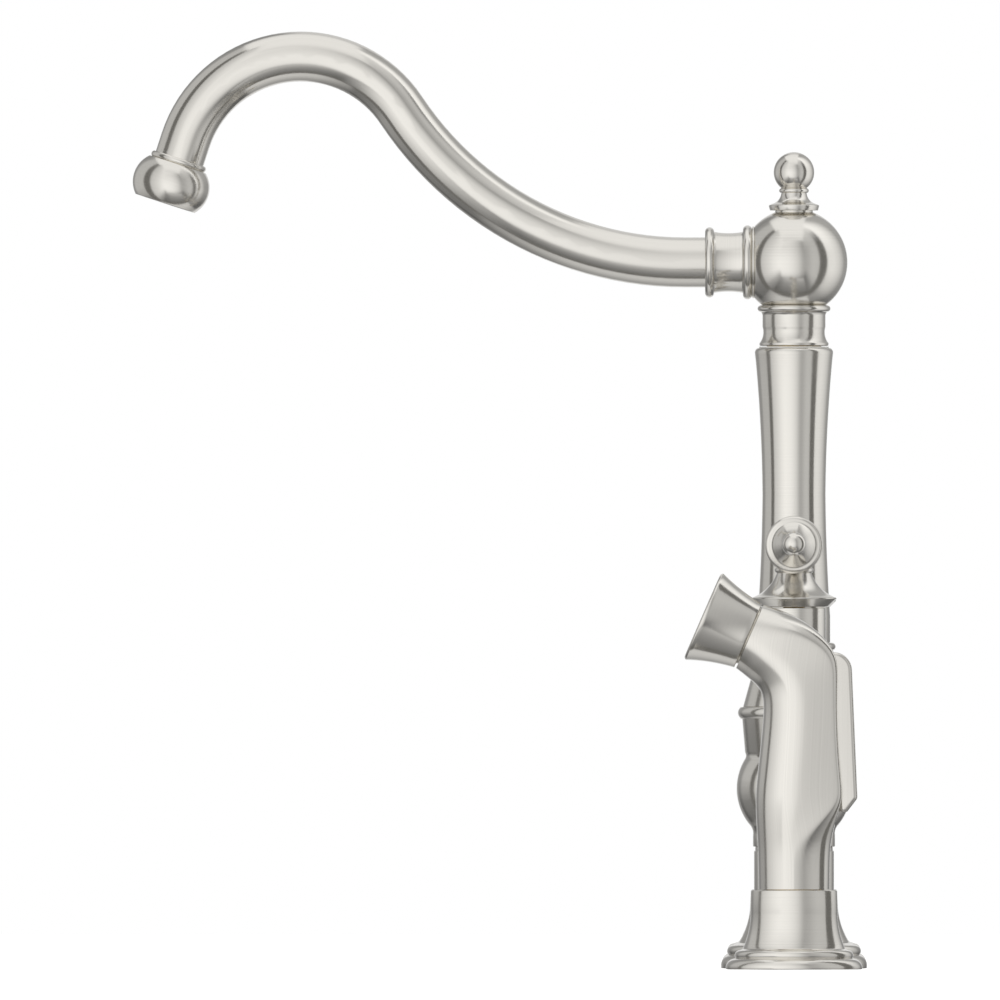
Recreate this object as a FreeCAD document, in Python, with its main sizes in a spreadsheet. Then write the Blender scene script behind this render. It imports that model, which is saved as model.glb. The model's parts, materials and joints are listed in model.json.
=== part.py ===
import FreeCAD, Part
import math
import operator
import os
from collections import namedtuple
from types import SimpleNamespace

import Sketcher

# Two-handle bridge kitchen faucet with a side sprayer, in millimetres and degrees.
# The origin is on the deck, midway between the two legs. +Z is up, -Y is the side of the sink and the
# user, and +X is the side of the cold leg and of the sprayer. Heights are measured from the deck.

DIMENSIONS = {
    "Layout": {
        "leg_spacing": 203.2,
        "spray_offset": 203.2,
        "bridge_height": 66.2,
        "deck_room": 26.0,
    },
    "Fits": {
        "fit_clearance": 0.05,
        "slip_clearance": 0.15,
        "moving_gap": 0.3,
        "overrun": 4.0,
    },
    "Leg escutcheon": {
        "escutcheon_radius": 26.9,
        "escutcheon_edge_height": 1.2,
        "escutcheon_groove_radius": 24.2,
        "escutcheon_groove_height": 5.1,
        "escutcheon_bead_radius": 22.6,
        "escutcheon_bead_height": 8.7,
        "escutcheon_skirt_radius": 20.5,
        "escutcheon_skirt_height": 9.4,
        "escutcheon_waist_radius": 16.2,
        "escutcheon_waist_height": 21.8,
        "escutcheon_top_radius": 15.85,
        "escutcheon_top_height": 28.7,
        "escutcheon_mouth_radius": 21.5,
        "escutcheon_lining_height": 17.0,
        "gasket_height": 2.5,
    },
    "Riser and shank": {
        "riser_wall": 1.65,
        "riser_groove_depth": 0.4,
        "riser_groove_height": 1.6,
        "tenon_wall": 2.5,
        "tenon_height": 5.2,
        "waterway_radius": 9.0,
        "shank_radius": 13.0,
        "shank_reach": 22.0,
        "shank_thread_depth": 40.0,
        "inlet_radius": 10.45,
        "inlet_depth": 62.0,
        "inlet_bore_radius": 6.0,
        "washer_radius": 20.0,
        "washer_height": 2.5,
        "nut_flats": 36.0,
        "nut_height": 10.0,
    },
    "Ball bodies": {
        "ball_radius": 21.1,
        "ball_drop": 13.2,
        "ball_rise": 11.2,
        "foot_step": 0.4,
        "foot_drop": 17.2,
        "foot_length": 4.2,
        "waist_radius": 18.0,
        "waist_rise": 13.3,
        "throat_radius": 19.05,
        "ring_radius": 20.6,
        "ring_round": 1.0,
        "ring_height": 4.2,
        "body_rise": 30.0,
        "seat_room": 0.7,
        "plug_height": 8.0,
        "plug_rim_height": 2.2,
        "hub_foot_length": 1.0,
    },
    "Cartridge and bonnet": {
        "cartridge_radius": 13.0,
        "cartridge_flange_drop": 2.2,
        "cartridge_neck_radius": 9.0,
        "cartridge_neck_height": 18.0,
        "cartridge_nut_height": 6.0,
        "stem_radius": 4.0,
        "stem_depth": 4.0,
        "stem_head_drop": 7.8,
        "bonnet_radius": 18.75,
        "bonnet_cone_height": 25.5,
        "bonnet_neck_radius": 11.7,
        "bonnet_neck_height": 11.0,
        "bonnet_bore_radius": 9.4,
        "bonnet_bore_drop": 8.7,
        "bonnet_inner_radius": 16.5,
        "bonnet_lip_height": 1.8,
    },
    "Handles": {
        "hub_foot_radius": 12.6,
        "hub_flange_radius": 15.5,
        "hub_foot_height": 2.8,
        "hub_flange_height": 0.6,
        "hub_flange_round": 0.15,
        "hub_flare_radius": 6.4,
        "hub_flare_height": 9.0,
        "hub_collar_radius": 7.2,
        "hub_collar_height": 2.2,
        "hub_ball_radius": 9.6,
        "hub_ball_rise": 8.2,
        "lever_seat": 6.6,
        "lever_tenon_radius": 3.5,
        "lever_tenon_length": 5.0,
        "lever_neck_radius": 6.9,
        "lever_disc_radius": 10.6,
        "lever_disc_round": 1.3,
        "lever_disc_start": 7.8,
        "lever_disc_end": 10.6,
        "lever_flare_radius": 8.3,
        "lever_flare_end": 28.0,
        "lever_stem_radius": 3.0,
        "lever_stem_end": 55.5,
        "lever_bead_round": 1.1,
        "lever_bead_end": 57.9,
        "lever_ball_radius": 4.4,
        "lever_length": 66.5,
    },
    "Bridge and collars": {
        "tube_radius": 9.25,
        "tube_wall": 1.65,
        "tube_tenon": 4.0,
        "collar_seat_wall": 4.1,
        "collar_step_wall": 4.0,
        "collar_step_width": 0.9,
        "collar_rear_bead_wall": 4.4,
        "collar_rear_bead_width": 3.4,
        "collar_front_bead_wall": 3.7,
        "collar_front_bead_width": 3.3,
        "collar_bead_round": 1.2,
        "collar_sleeve_wall": 2.0,
        "collar_sleeve_length": 10.7,
    },
    "Diverter and column": {
        "diverter_bore_radius": 6.0,
        "diverter_port_radius": 3.0,
        "diverter_floor": 2.0,
        "diverter_piston_length": 12.0,
        "diverter_rod_radius": 2.0,
        "diverter_rod_length": 4.0,
        "base_bore_radius": 12.0,
        "base_bore_height": 10.8,
        "base_top_radius": 13.7,
        "base_height": 21.1,
        "lip_radius": 15.4,
        "lip_round": 1.2,
        "lip_height": 2.9,
        "column_tenon_radius": 9.9,
        "column_tenon_length": 12.2,
        "column_bore_radius": 7.5,
        "column_foot_radius": 13.4,
        "column_foot_height": 9.8,
        "column_waist_radius": 11.67,
        "column_waist_rise": 45.0,
        "column_neck_radius": 14.15,
        "column_neck_rise": 49.2,
        "column_shoulder_radius": 14.5,
        "column_shoulder_rise": 3.2,
        "column_rim_radius": 13.5,
        "column_rim_rise": 1.8,
        "column_socket_depth": 35.2,
        "swivel_washer_radius": 12.9,
        "swivel_washer_height": 0.5,
    },
    "Spout": {
        "spout_ball_radius": 19.8,
        "spout_ball_drop": 15.9,
        "spout_ball_rise": 18.5,
        "spigot_radius": 10.0,
        "spigot_bore_radius": 6.5,
        "spigot_end_room": 1.0,
        "ring_groove_rise": 6.0,
        "ring_groove_step": 7.0,
        "ring_groove_width": 2.0,
        "ring_section": 1.6,
        "neck_foot_radius": 12.8,
        "neck_foot_height": 1.0,
        "neck_radius": 11.65,
        "neck_length": 15.0,
        "neck_cove_rise": 7.0,
        "neck_flare_rise": 10.9,
        "neck_bead_radius": 13.5,
        "neck_bead_round": 1.1,
        "neck_bead_width": 2.4,
        "finial_stud_radius": 3.0,
        "finial_stud_length": 8.0,
        "finial_foot_radius": 7.0,
        "finial_foot_height": 0.7,
        "finial_flange_radius": 9.4,
        "finial_flange_taper": 0.5,
        "finial_flange_width": 1.9,
        "finial_shoulder_rise": 0.6,
        "finial_flare_radius": 7.9,
        "finial_neck_radius": 4.7,
        "finial_neck_rise": 7.1,
        "finial_bead_round": 0.8,
        "finial_ball_radius": 7.5,
        "finial_ball_rise": 14.8,
        "spout_run": 40.4,
        "bend_radius": 125.8,
        "arch_radius": 44.8,
        "rise_angle": 56.4,
        "drop_angle": 72.0,
        "spout_tail_length": 7.2,
    },
    "Nozzle": {
        "nozzle_socket": 6.0,
        "nozzle_ring_wall": 1.25,
        "nozzle_ring_round": 0.6,
        "nozzle_ring_width": 2.2,
        "nozzle_bulb_wall": 1.6,
        "nozzle_outlet_wall": 2.2,
        "nozzle_length": 17.4,
        "nozzle_shelf": 8.0,
        "aerator_step": 0.7,
        "aerator_washer_bore": 5.0,
        "aerator_washer_height": 1.2,
        "aerator_length": 7.2,
        "aerator_rim_width": 1.2,
        "aerator_recess": 0.8,
    },
    "Sprayer holder": {
        "holder_radius": 25.0,
        "holder_edge_height": 1.0,
        "holder_groove_radius": 21.4,
        "holder_groove_height": 4.1,
        "holder_bead_radius": 19.7,
        "holder_bead_height": 7.1,
        "holder_skirt_radius": 18.8,
        "holder_skirt_height": 7.6,
        "holder_waist_radius": 15.95,
        "holder_waist_height": 22.0,
        "holder_top_radius": 15.8,
        "holder_top_height": 29.0,
        "holder_mouth_radius": 19.3,
        "holder_lining_height": 15.0,
        "guide_radius": 13.0,
        "guide_wall": 2.1,
        "guide_flange_width": 1.3,
        "guide_flange_height": 1.6,
        "guide_depth": 40.0,
    },
    "Sprayer": {
        "grip_foot_radius": 12.95,
        "grip_band_radius": 13.05,
        "grip_band_height": 6.8,
        "grip_cuff_radius": 13.2,
        "grip_cuff_height": 13.7,
        "grip_swell_radius": 16.4,
        "grip_swell_back": 2.4,
        "grip_swell_height": 32.7,
        "grip_swell_reach": 15.2,
        "grip_swell_turn": 20.0,
        "grip_swell_edge": 1.2,
        "grip_palm_radius": 15.5,
        "grip_palm_back": 2.9,
        "grip_palm_height": 48.7,
        "grip_palm_reach": 13.4,
        "grip_palm_turn": 20.0,
        "grip_palm_edge": 1.2,
        "grip_neck_radius": 14.45,
        "grip_neck_back": 3.4,
        "grip_neck_height": 63.7,
        "grip_neck_reach": 12.1,
        "grip_neck_turn": 20.0,
        "grip_neck_edge": 1.2,
        "grip_shoulder_radius": 15.4,
        "grip_shoulder_back": 1.7,
        "grip_shoulder_height": 79.5,
        "grip_shoulder_tilt": 24.0,
        "grip_shoulder_reach": 15.2,
        "grip_shoulder_turn": 26.0,
        "grip_shoulder_edge": 2.0,
        "grip_crown_radius": 14.8,
        "grip_crown_back": -7.0,
        "grip_crown_height": 88.4,
        "grip_crown_tilt": 45.6,
        "grip_crown_reach": 14.0,
        "grip_crown_turn": 45.0,
        "grip_crown_edge": 6.0,
        "grip_seam_radius": 12.7,
        "grip_seam_back": -16.1,
        "grip_seam_height": 92.5,
        "grip_seam_tilt": 66.4,
        "grip_round_turn": 70.0,
        "tail_room": 0.7,
        "tail_length": 26.3,
        "tail_tenon_radius": 9.0,
        "tail_tenon_height": 10.7,
        "tail_bore_radius": 4.0,
        "hose_thread_radius": 6.0,
        "hose_thread_length": 14.0,
        "head_tenon_radius": 8.0,
        "head_tenon_length": 5.8,
        "head_bore_radius": 4.0,
        "head_length": 19.0,
        "head_seam_width": 0.8,
        "head_seam_depth": 1.8,
        "head_flare_radius": 16.8,
        "head_rim_radius": 17.2,
        "head_rim_height": 1.9,
        "head_lip_radius": 16.1,
        "head_mouth_radius": 15.1,
        "face_thickness": 2.8,
        "face_bevel": 0.7,
        "face_recess": 1.0,
        "jet_radius": 0.7,
        "jet_ring_radius": 10.6,
        "jet_ring_inner_radius": 5.6,
    },
    "Trigger": {
        "trigger_width": 15.0,
        "trigger_pivot_back": 12.0,
        "trigger_pivot_height": 83.3,
        "trigger_pin_radius": 1.25,
        "trigger_pin_length": 20.4,
        "trigger_root_back": 10.0,
        "trigger_root_low": 80.7,
        "trigger_root_high": 86.3,
        "trigger_tip_back": 16.6,
        "trigger_tip_height": 28.4,
        "trigger_tip_width": 2.8,
        "trigger_heel_back": 23.2,
        "trigger_heel_height": 33.3,
        "trigger_heel_round": 2.0,
        "trigger_crest_back": 20.9,
        "trigger_crest_height": 87.6,
        "trigger_crest_round": 6.8,
        "trigger_edge_round": 1.5,
        "slot_top_back": 9.0,
        "slot_top_height": 90.1,
        "slot_foot_back": 11.8,
        "slot_foot_height": 23.7,
        "slot_depth_room": 30.0,
        "plunger_radius": 2.5,
        "plunger_height": 70.7,
        "plunger_inner_back": 3.0,
        "plunger_length": 7.65,
        "plunger_room": 1.5,
    },
}

# Shares: an arc's bulge is the tangent of a quarter of its turn, positive where the arc turns to the left.
full_round_share = 1.0
torus_share = 0.35
bead_share = 0.6
flare_share = -0.12
cove_share = -0.25
soft_cove_share = -0.09
base_cove_share = -0.04
column_low_share = -0.0147
column_high_share = -0.021
bulb_share = 0.42
lever_flare_share = -0.2
head_flare_share = -0.06
grip_round_share = 0.96
hub_flare_share = -0.22
rim_share = 0.3
plug_dome_share = 0.35
finial_flare_share = -0.3

WHOLE_TURN = 360
RIGHT_ANGLE = 90
HALF_TURN = 180
JET_COUNT = 12
JET_INNER_COUNT = 6

ORIGIN_POINT = (-1, 1)
UPRIGHT_AXIS = -2
LEVEL_AXIS = -1
CENTRE_SPOT = 3

X_AXIS = FreeCAD.Vector(1, 0, 0)
Y_AXIS = FreeCAD.Vector(0, 1, 0)
Z_AXIS = FreeCAD.Vector(0, 0, 1)

Centre = namedtuple("Centre", "across up turn")
Edge = namedtuple("Edge", "number start end")

OPERATIONS = {"+": operator.add, "-": operator.sub, "*": operator.mul, "/": operator.truediv}


class Size:
    """A size with its value now and the sheet formula that it follows."""

    def __init__(self, value, formula):
        self.value = float(value)
        self.formula = formula

    def __add__(self, other):
        return combined(self, "+", other)

    def __radd__(self, other):
        return combined(other, "+", self)

    def __sub__(self, other):
        return combined(self, "-", other)

    def __rsub__(self, other):
        return combined(other, "-", self)

    def __mul__(self, other):
        return combined(self, "*", other)

    def __rmul__(self, other):
        return combined(other, "*", self)

    def __truediv__(self, other):
        return combined(self, "/", other)

    def __rtruediv__(self, other):
        return combined(other, "/", self)

    def __neg__(self):
        return Size(-self.value, f"(-1 * {self.formula})")


def sized(thing):
    """A plain number as a size, or the size itself."""
    if isinstance(thing, Size):
        return thing
    return Size(thing, f"({float(thing)!r})")


def combined(left, sign, right):
    left = sized(left)
    right = sized(right)
    value = OPERATIONS[sign](left.value, right.value)
    return Size(value, f"({left.formula} {sign} {right.formula})")


def leg_of(hypotenuse, other_leg):
    """The third side of a right triangle, such as a ball's radius at a height off its centre."""
    squared = hypotenuse * hypotenuse - other_leg * other_leg
    return Size(math.sqrt(squared.value), f"sqrt({squared.formula})")


def sine(angle):
    return Size(math.sin(math.radians(angle.value)), f"sin({angle.formula} * 1 deg)")


def cosine(angle):
    return Size(math.cos(math.radians(angle.value)), f"cos({angle.formula} * 1 deg)")


def bulge_of(angle):
    """The bulge of an arc that turns by an angle."""
    quarter = math.radians(angle.value / 4)
    return Size(math.tan(quarter), f"tan({angle.formula} * 0.25 deg)")


def bulge_of_rise(rise, chord):
    """The bulge of an arc that stands off its chord by a rise."""
    return 2 * rise / chord


doc = FreeCAD.newDocument("bridge_faucet")
sheet = doc.addObject("Spreadsheet::Sheet", "dims")
row = 1
for group, sizes in DIMENSIONS.items():
    sheet.set(f"A{row}", group)
    row += 1
    for name, value in sizes.items():
        sheet.set(f"A{row}", name)
        sheet.set(f"B{row}", str(value))
        sheet.setAlias(f"B{row}", name)
        row += 1
doc.recompute()

NAMES = [name for sizes in DIMENSIONS.values() for name in sizes]
d = SimpleNamespace(**{name: Size(sheet.get(name), f"dims.{name}") for name in NAMES})

SUBPARTS = []


# Sketching helpers

def new_body(label):
    body = doc.addObject("PartDesign::Body", label)
    body.Label = label
    SUBPARTS.append(body)
    return body


def new_sketch(body, plane_role, name):
    plane = next(item for item in body.Origin.OriginFeatures if item.Role == plane_role)
    sketch = body.newObject("Sketcher::SketchObject", f"{body.Name}_{name}")
    sketch.AttachmentSupport = [(plane, "")]
    sketch.MapMode = "FlatFace"
    return sketch


def offset_sketch(sketch, across=0, up=0, out=0, tilt=0):
    """Move a sketch off its plane, and tilt it about the plane's first axis."""
    parts = {"x": sized(across), "y": sized(up), "z": sized(out)}
    tilt = sized(tilt)
    base = FreeCAD.Vector(*[part.value for part in parts.values()])
    sketch.AttachmentOffset = FreeCAD.Placement(base, FreeCAD.Rotation(X_AXIS, tilt.value))
    for letter, part in parts.items():
        sketch.setExpression(f"AttachmentOffset.Base.{letter}", part.formula)
    sketch.setExpression("AttachmentOffset.Rotation.Angle", tilt.formula)


def bind(sketch, constraint, size):
    index = sketch.addConstraint(constraint)
    sketch.setExpression(f"Constraints[{index}]", size.formula)


def hold_along(sketch, kind, axis, edge, spot, size):
    """Fix one coordinate of a sketch point to a size, measured from the sketch's origin."""
    if size.value == 0:
        sketch.addConstraint(Sketcher.Constraint("PointOnObject", edge, spot, axis))
    elif size.value > 0:
        bind(sketch, Sketcher.Constraint(kind, *ORIGIN_POINT, edge, spot, size.value), size)
    else:
        bind(sketch, Sketcher.Constraint(kind, edge, spot, *ORIGIN_POINT, -size.value), -size)


def hold(sketch, edge, spot, across, up):
    hold_along(sketch, "DistanceX", UPRIGHT_AXIS, edge, spot, across)
    hold_along(sketch, "DistanceY", LEVEL_AXIS, edge, spot, up)


def arc_centre(start, end, curve):
    """Where an arc's centre lies: given, or worked out from its bulge."""
    if isinstance(curve, Centre):
        return sized(curve.across), sized(curve.up), curve.turn
    curve = sized(curve)
    lean = (1 - curve * curve) / (4 * curve)
    across = (start[0] + end[0]) / 2 - (end[1] - start[1]) * lean
    up = (start[1] + end[1]) / 2 + (end[0] - start[0]) * lean
    return across, up, math.copysign(1, curve.value)


def add_line(sketch, start, end):
    first = FreeCAD.Vector(start[0].value, start[1].value, 0)
    last = FreeCAD.Vector(end[0].value, end[1].value, 0)
    return Edge(sketch.addGeometry(Part.LineSegment(first, last), False), 1, 2)


def add_arc(sketch, start, end, curve):
    """An arc between two corners, with its centre held on the line midway between them."""
    across, up, turn = arc_centre(start, end, curve)
    centre = FreeCAD.Vector(across.value, up.value, 0)
    rays = [FreeCAD.Vector(corner[0].value, corner[1].value, 0) - centre for corner in (start, end)]
    if turn < 0:
        rays.reverse()
    angles = [math.atan2(ray.y, ray.x) for ray in rays]
    circle = Part.Circle(centre, Z_AXIS, rays[0].Length)
    number = sketch.addGeometry(Part.ArcOfCircle(circle, *angles), False)
    width = abs(end[0].value - start[0].value)
    height = abs(end[1].value - start[1].value)
    if height >= width:
        hold_along(sketch, "DistanceX", UPRIGHT_AXIS, number, CENTRE_SPOT, across)
    else:
        hold_along(sketch, "DistanceY", LEVEL_AXIS, number, CENTRE_SPOT, up)
    return Edge(number, 1, 2) if turn > 0 else Edge(number, 2, 1)


def draw(sketch, points, closed=True):
    """Draw an outline through points (across, up) or (across, up, curve to the next point)."""
    corners = [(sized(point[0]), sized(point[1])) for point in points]
    curves = [point[2] if len(point) > 2 else None for point in points]
    count = len(corners) if closed else len(corners) - 1
    edges = []
    for index in range(count):
        start = corners[index]
        end = corners[(index + 1) % len(corners)]
        if curves[index] is None:
            edges.append(add_line(sketch, start, end))
        else:
            edges.append(add_arc(sketch, start, end, curves[index]))
    for index, edge in enumerate(edges):
        hold(sketch, edge.number, edge.start, *corners[index])
        if index + 1 < len(edges) or closed:
            follower = edges[(index + 1) % len(edges)]
            meeting = (edge.number, edge.end, follower.number, follower.start)
            sketch.addConstraint(Sketcher.Constraint("Coincident", *meeting))
    if not closed:
        hold(sketch, edges[-1].number, edges[-1].end, *corners[-1])


def draw_circle(sketch, radius, across=0, up=0):
    across = sized(across)
    up = sized(up)
    centre = FreeCAD.Vector(across.value, up.value, 0)
    number = sketch.addGeometry(Part.Circle(centre, Z_AXIS, radius.value), False)
    bind(sketch, Sketcher.Constraint("Radius", number, radius.value), radius)
    hold(sketch, number, CENTRE_SPOT, across, up)


# Feature helpers

def turned(label, points):
    """A piece turned about its own upright axis from an outline of (radius, height)."""
    body = new_body(label)
    profile = new_sketch(body, "XZ_Plane", "profile")
    draw(profile, points)
    spun = body.newObject("PartDesign::Revolution", f"{label}_turned")
    spun.Profile = profile
    spun.ReferenceAxis = (profile, ["V_Axis"])
    spun.Angle = WHOLE_TURN
    return body


def checked_cut(body, cut):
    """Recompute a cut, and stop if it took nothing away."""
    before = body.Shape.Volume
    doc.recompute()
    if not body.Shape.Volume < before:
        raise ValueError(f"{cut.Label} cuts nothing from {body.Label}")


def bored(body, plane_role, name, points, axis_height=None):
    """Cut a turned hole: about the upright axis, or about a level line at a height."""
    doc.recompute()
    profile = new_sketch(body, plane_role, name)
    draw(profile, points)
    groove = body.newObject("PartDesign::Groove", f"{body.Name}_{name}_bore")
    groove.Profile = profile
    if axis_height is None:
        groove.ReferenceAxis = (profile, ["V_Axis"])
    else:
        level = FreeCAD.Vector(0, axis_height.value, 0)
        line = profile.addGeometry(Part.LineSegment(level, level + X_AXIS), True)
        profile.addConstraint(Sketcher.Constraint("Horizontal", line))
        hold(profile, line, 1, sized(0), axis_height)
        profile.addConstraint(Sketcher.Constraint("DistanceX", line, 1, line, 2, 1))
        groove.ReferenceAxis = (profile, ["Axis0"])
    groove.Angle = WHOLE_TURN
    checked_cut(body, groove)


def pocketed(body, sketch, length, both_ways=False, forwards=False):
    doc.recompute()
    pocket = body.newObject("PartDesign::Pocket", f"{sketch.Name}_pocket")
    pocket.Profile = sketch
    pocket.setExpression("Length", length.formula)
    pocket.SideType = "Symmetric" if both_ways else "One side"
    pocket.Reversed = forwards
    checked_cut(body, pocket)
    return pocket


def padded(body, sketch, length, both_ways=False):
    pad = body.newObject("PartDesign::Pad", f"{sketch.Name}_pad")
    pad.Profile = sketch
    pad.setExpression("Length", length.formula)
    pad.SideType = "Symmetric" if both_ways else "One side"
    return pad


def corner_edges(feature, along, up):
    """The edges of a side profile's corner, which run along X through a point of the YZ plane."""
    doc.recompute()
    found = []
    for index, edge in enumerate(feature.Shape.Edges, 1):
        offsets = [(spot.Point.y - along.value, spot.Point.z - up.value) for spot in edge.Vertexes]
        if max(math.hypot(*offset) for offset in offsets) < d.fit_clearance.value:
            found.append(f"Edge{index}")
    return found


def side_faces(feature, half_width):
    """The two flat cheeks of a symmetric pad."""
    doc.recompute()
    return [f"Face{index}" for index, face in enumerate(feature.Shape.Faces, 1)
            if abs(abs(face.CenterOfMass.x) - half_width.value) < d.fit_clearance.value]


def rounded(body, name, feature, elements, radius):
    fillet = body.newObject("PartDesign::Fillet", f"{body.Name}_{name}_round")
    fillet.Base = (feature, elements)
    fillet.setExpression("Radius", radius.formula)
    return fillet


def place(body, across=0, along=0, up=0, axis=Z_AXIS, turn=0):
    """Move and turn a piece, with its place and its angle bound to the sheet."""
    parts = {"x": sized(across), "y": sized(along), "z": sized(up)}
    turn = sized(turn)
    base = FreeCAD.Vector(*[part.value for part in parts.values()])
    body.Placement = FreeCAD.Placement(base, FreeCAD.Rotation(axis, turn.value))
    for letter, part in parts.items():
        body.setExpression(f"Placement.Base.{letter}", part.formula)
    body.setExpression("Placement.Rotation.Angle", turn.formula)
    return body


def grouped(label, pieces):
    """Identical pieces that share one node."""
    for piece in pieces:
        SUBPARTS.remove(piece)
    group = doc.addObject("Part::Compound", label)
    group.Label = label
    group.Links = pieces
    SUBPARTS.append(group)
    return group


def ring(label, inner, outer, low, high):
    return turned(label, [(inner, low), (outer, low), (outer, high), (inner, high)])


def hexagon_nut(label, flats, bore, height):
    """A plain hexagon nut, its underside on the level plane."""
    body = new_body(label)
    sketch = new_sketch(body, "XY_Plane", "hexagon")
    half_flats = flats / 2
    half_side_share = 1 / math.sqrt(3)
    corner_shares = [(1, -1), (1, 1), (0, 2), (-1, 1), (-1, -1), (0, -2)]
    draw(sketch, [(half_flats * across, half_flats * (up * half_side_share))
                  for across, up in corner_shares])
    draw_circle(sketch, bore)
    padded(body, sketch, height)
    return body


# Shared places

leg_place = d.leg_spacing / 2
SIDES = {"left": -leg_place, "right": leg_place}
washer_height = -(d.deck_room + d.washer_height)
nut_place = washer_height - d.nut_height
foot_top = d.bridge_height - d.foot_drop
riser_seat = foot_top - d.foot_length
body_top = d.bridge_height + d.body_rise
ring_low = body_top - d.ring_height
ring_flat_radius = d.ring_radius - d.ring_round
collar_length = (d.collar_step_width + d.collar_rear_bead_width
                 + d.collar_sleeve_length + d.collar_front_bead_width)
cartridge_flange = body_top - d.cartridge_flange_drop
stem_floor = cartridge_flange - d.stem_depth
bonnet_cone_top = body_top + d.bonnet_cone_height
bonnet_top = bonnet_cone_top + d.bonnet_neck_height
hub_flange = bonnet_top + d.moving_gap + d.hub_foot_height
hub_flare_foot = hub_flange + d.hub_flange_height
hub_collar = hub_flare_foot + d.hub_flare_height
hub_collar_top = hub_collar + d.hub_collar_height
lever_axis = hub_collar_top + d.hub_ball_rise
stem_ceiling = lever_axis - d.stem_head_drop
base_top = body_top + d.base_height
lip_top = base_top + d.lip_height
column_foot = lip_top + d.column_foot_height
column_waist = column_foot + d.column_waist_rise
column_neck = column_waist + d.column_neck_rise
column_shoulder = column_neck + d.column_shoulder_rise
column_top = column_shoulder + d.column_rim_rise
spigot_socket = column_top - d.column_socket_depth
neck_foot = column_top + d.swivel_washer_height + d.moving_gap
spout_seat = neck_foot + d.neck_length
spout_axis = spout_seat + d.spout_ball_drop
finial_seat = spout_axis + d.spout_ball_rise
tube_bore = d.tube_radius - d.tube_wall
tube_socket = d.tube_radius + d.fit_clearance
collar_seat = tube_socket + d.collar_seat_wall
port_clearance = tube_socket + d.collar_rear_bead_wall + d.slip_clearance
ball_flat = leg_of(d.ball_radius, collar_seat)
spout_flat = leg_of(d.spout_ball_radius, collar_seat)
valve_seat = d.bridge_height + tube_socket + d.seat_room
shank_socket = d.shank_radius + d.fit_clearance
riser_radius = shank_socket + d.riser_wall
foot_radius = riser_radius + d.foot_step
tenon_radius = d.waterway_radius + d.tenon_wall
guide_bore = d.guide_radius - d.guide_wall
guide_flange = d.guide_radius + d.guide_flange_width
tail_radius = guide_bore - d.tail_room
spigot_bore = d.spigot_radius + d.fit_clearance
grip_foot_height = d.holder_top_height + d.moving_gap


# Leg bases and what clamps them to the deck

def escutcheon(label, prefix, bore, counterbore=None):
    """A bell-shaped base: a round foot, a bead, and a skirt that sweeps in to a plain collar."""
    size = SimpleNamespace(**{name[len(prefix) + 1:]: getattr(d, name)
                              for name in NAMES if name.startswith(prefix + "_")})
    mouth_of_bore = [(bore, size.top_height)]
    if counterbore is not None:
        radius, depth = counterbore
        shelf = size.top_height - depth
        mouth_of_bore = [(radius, size.top_height), (radius, shelf), (bore, shelf)]
    return turned(label, [
        (size.mouth_radius, 0),
        (size.radius, 0),
        (size.radius, size.edge_height, torus_share),
        (size.groove_radius, size.groove_height, bead_share),
        (size.bead_radius, size.bead_height),
        (size.skirt_radius, size.skirt_height, flare_share),
        (size.waist_radius, size.waist_height),
        (size.top_radius, size.top_height),
        *mouth_of_bore,
        (bore, size.lining_height),
        (size.mouth_radius, size.groove_height),
    ])


def riser(label):
    """The plain tube of a leg, with a shadow groove at its top and a tenon into the valve body."""
    tenon_top = riser_seat + d.tenon_height
    groove_low = riser_seat - d.riser_groove_height
    groove_radius = riser_radius - d.riser_groove_depth
    return turned(label, [
        (shank_socket, d.gasket_height),
        (riser_radius, d.gasket_height),
        (riser_radius, groove_low),
        (groove_radius, groove_low),
        (groove_radius, riser_seat),
        (tenon_radius, riser_seat),
        (tenon_radius, tenon_top),
        (d.waterway_radius, tenon_top),
        (d.waterway_radius, d.shank_reach),
        (shank_socket, d.shank_reach),
    ])


def shank(label):
    """The supply shank: a wide stretch for the mounting nut, then a slimmer inlet tail."""
    return turned(label, [
        (d.inlet_bore_radius, -d.inlet_depth),
        (d.inlet_radius, -d.inlet_depth),
        (d.inlet_radius, -d.shank_thread_depth),
        (d.shank_radius, -d.shank_thread_depth),
        (d.shank_radius, d.shank_reach),
        (d.inlet_bore_radius, d.shank_reach),
    ])


def make_leg_bases():
    gaskets = []
    washers = []
    nuts = []
    for side, across in SIDES.items():
        place(escutcheon(f"{side}_escutcheon", "escutcheon", riser_radius + d.slip_clearance), across)
        place(riser(f"{side}_riser"), across)
        place(shank(f"{side}_shank"), across)
        gasket_inner = d.shank_radius + d.moving_gap
        gasket_outer = d.escutcheon_mouth_radius - d.slip_clearance
        gaskets.append(place(ring(f"{side}_gasket", gasket_inner, gasket_outer, 0, d.gasket_height), across))
        washers.append(place(ring(f"{side}_washer", gasket_inner, d.washer_radius,
                                  washer_height, -d.deck_room), across))
        nut = hexagon_nut(f"{side}_nut", d.nut_flats, shank_socket, d.nut_height)
        nuts.append(place(nut, across, 0, nut_place))
    grouped("deck_gaskets", gaskets)
    grouped("mounting_washers", washers)
    grouped("mounting_nuts", nuts)


# Ball bodies: the two valve bodies and the centre hub share one form

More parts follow.
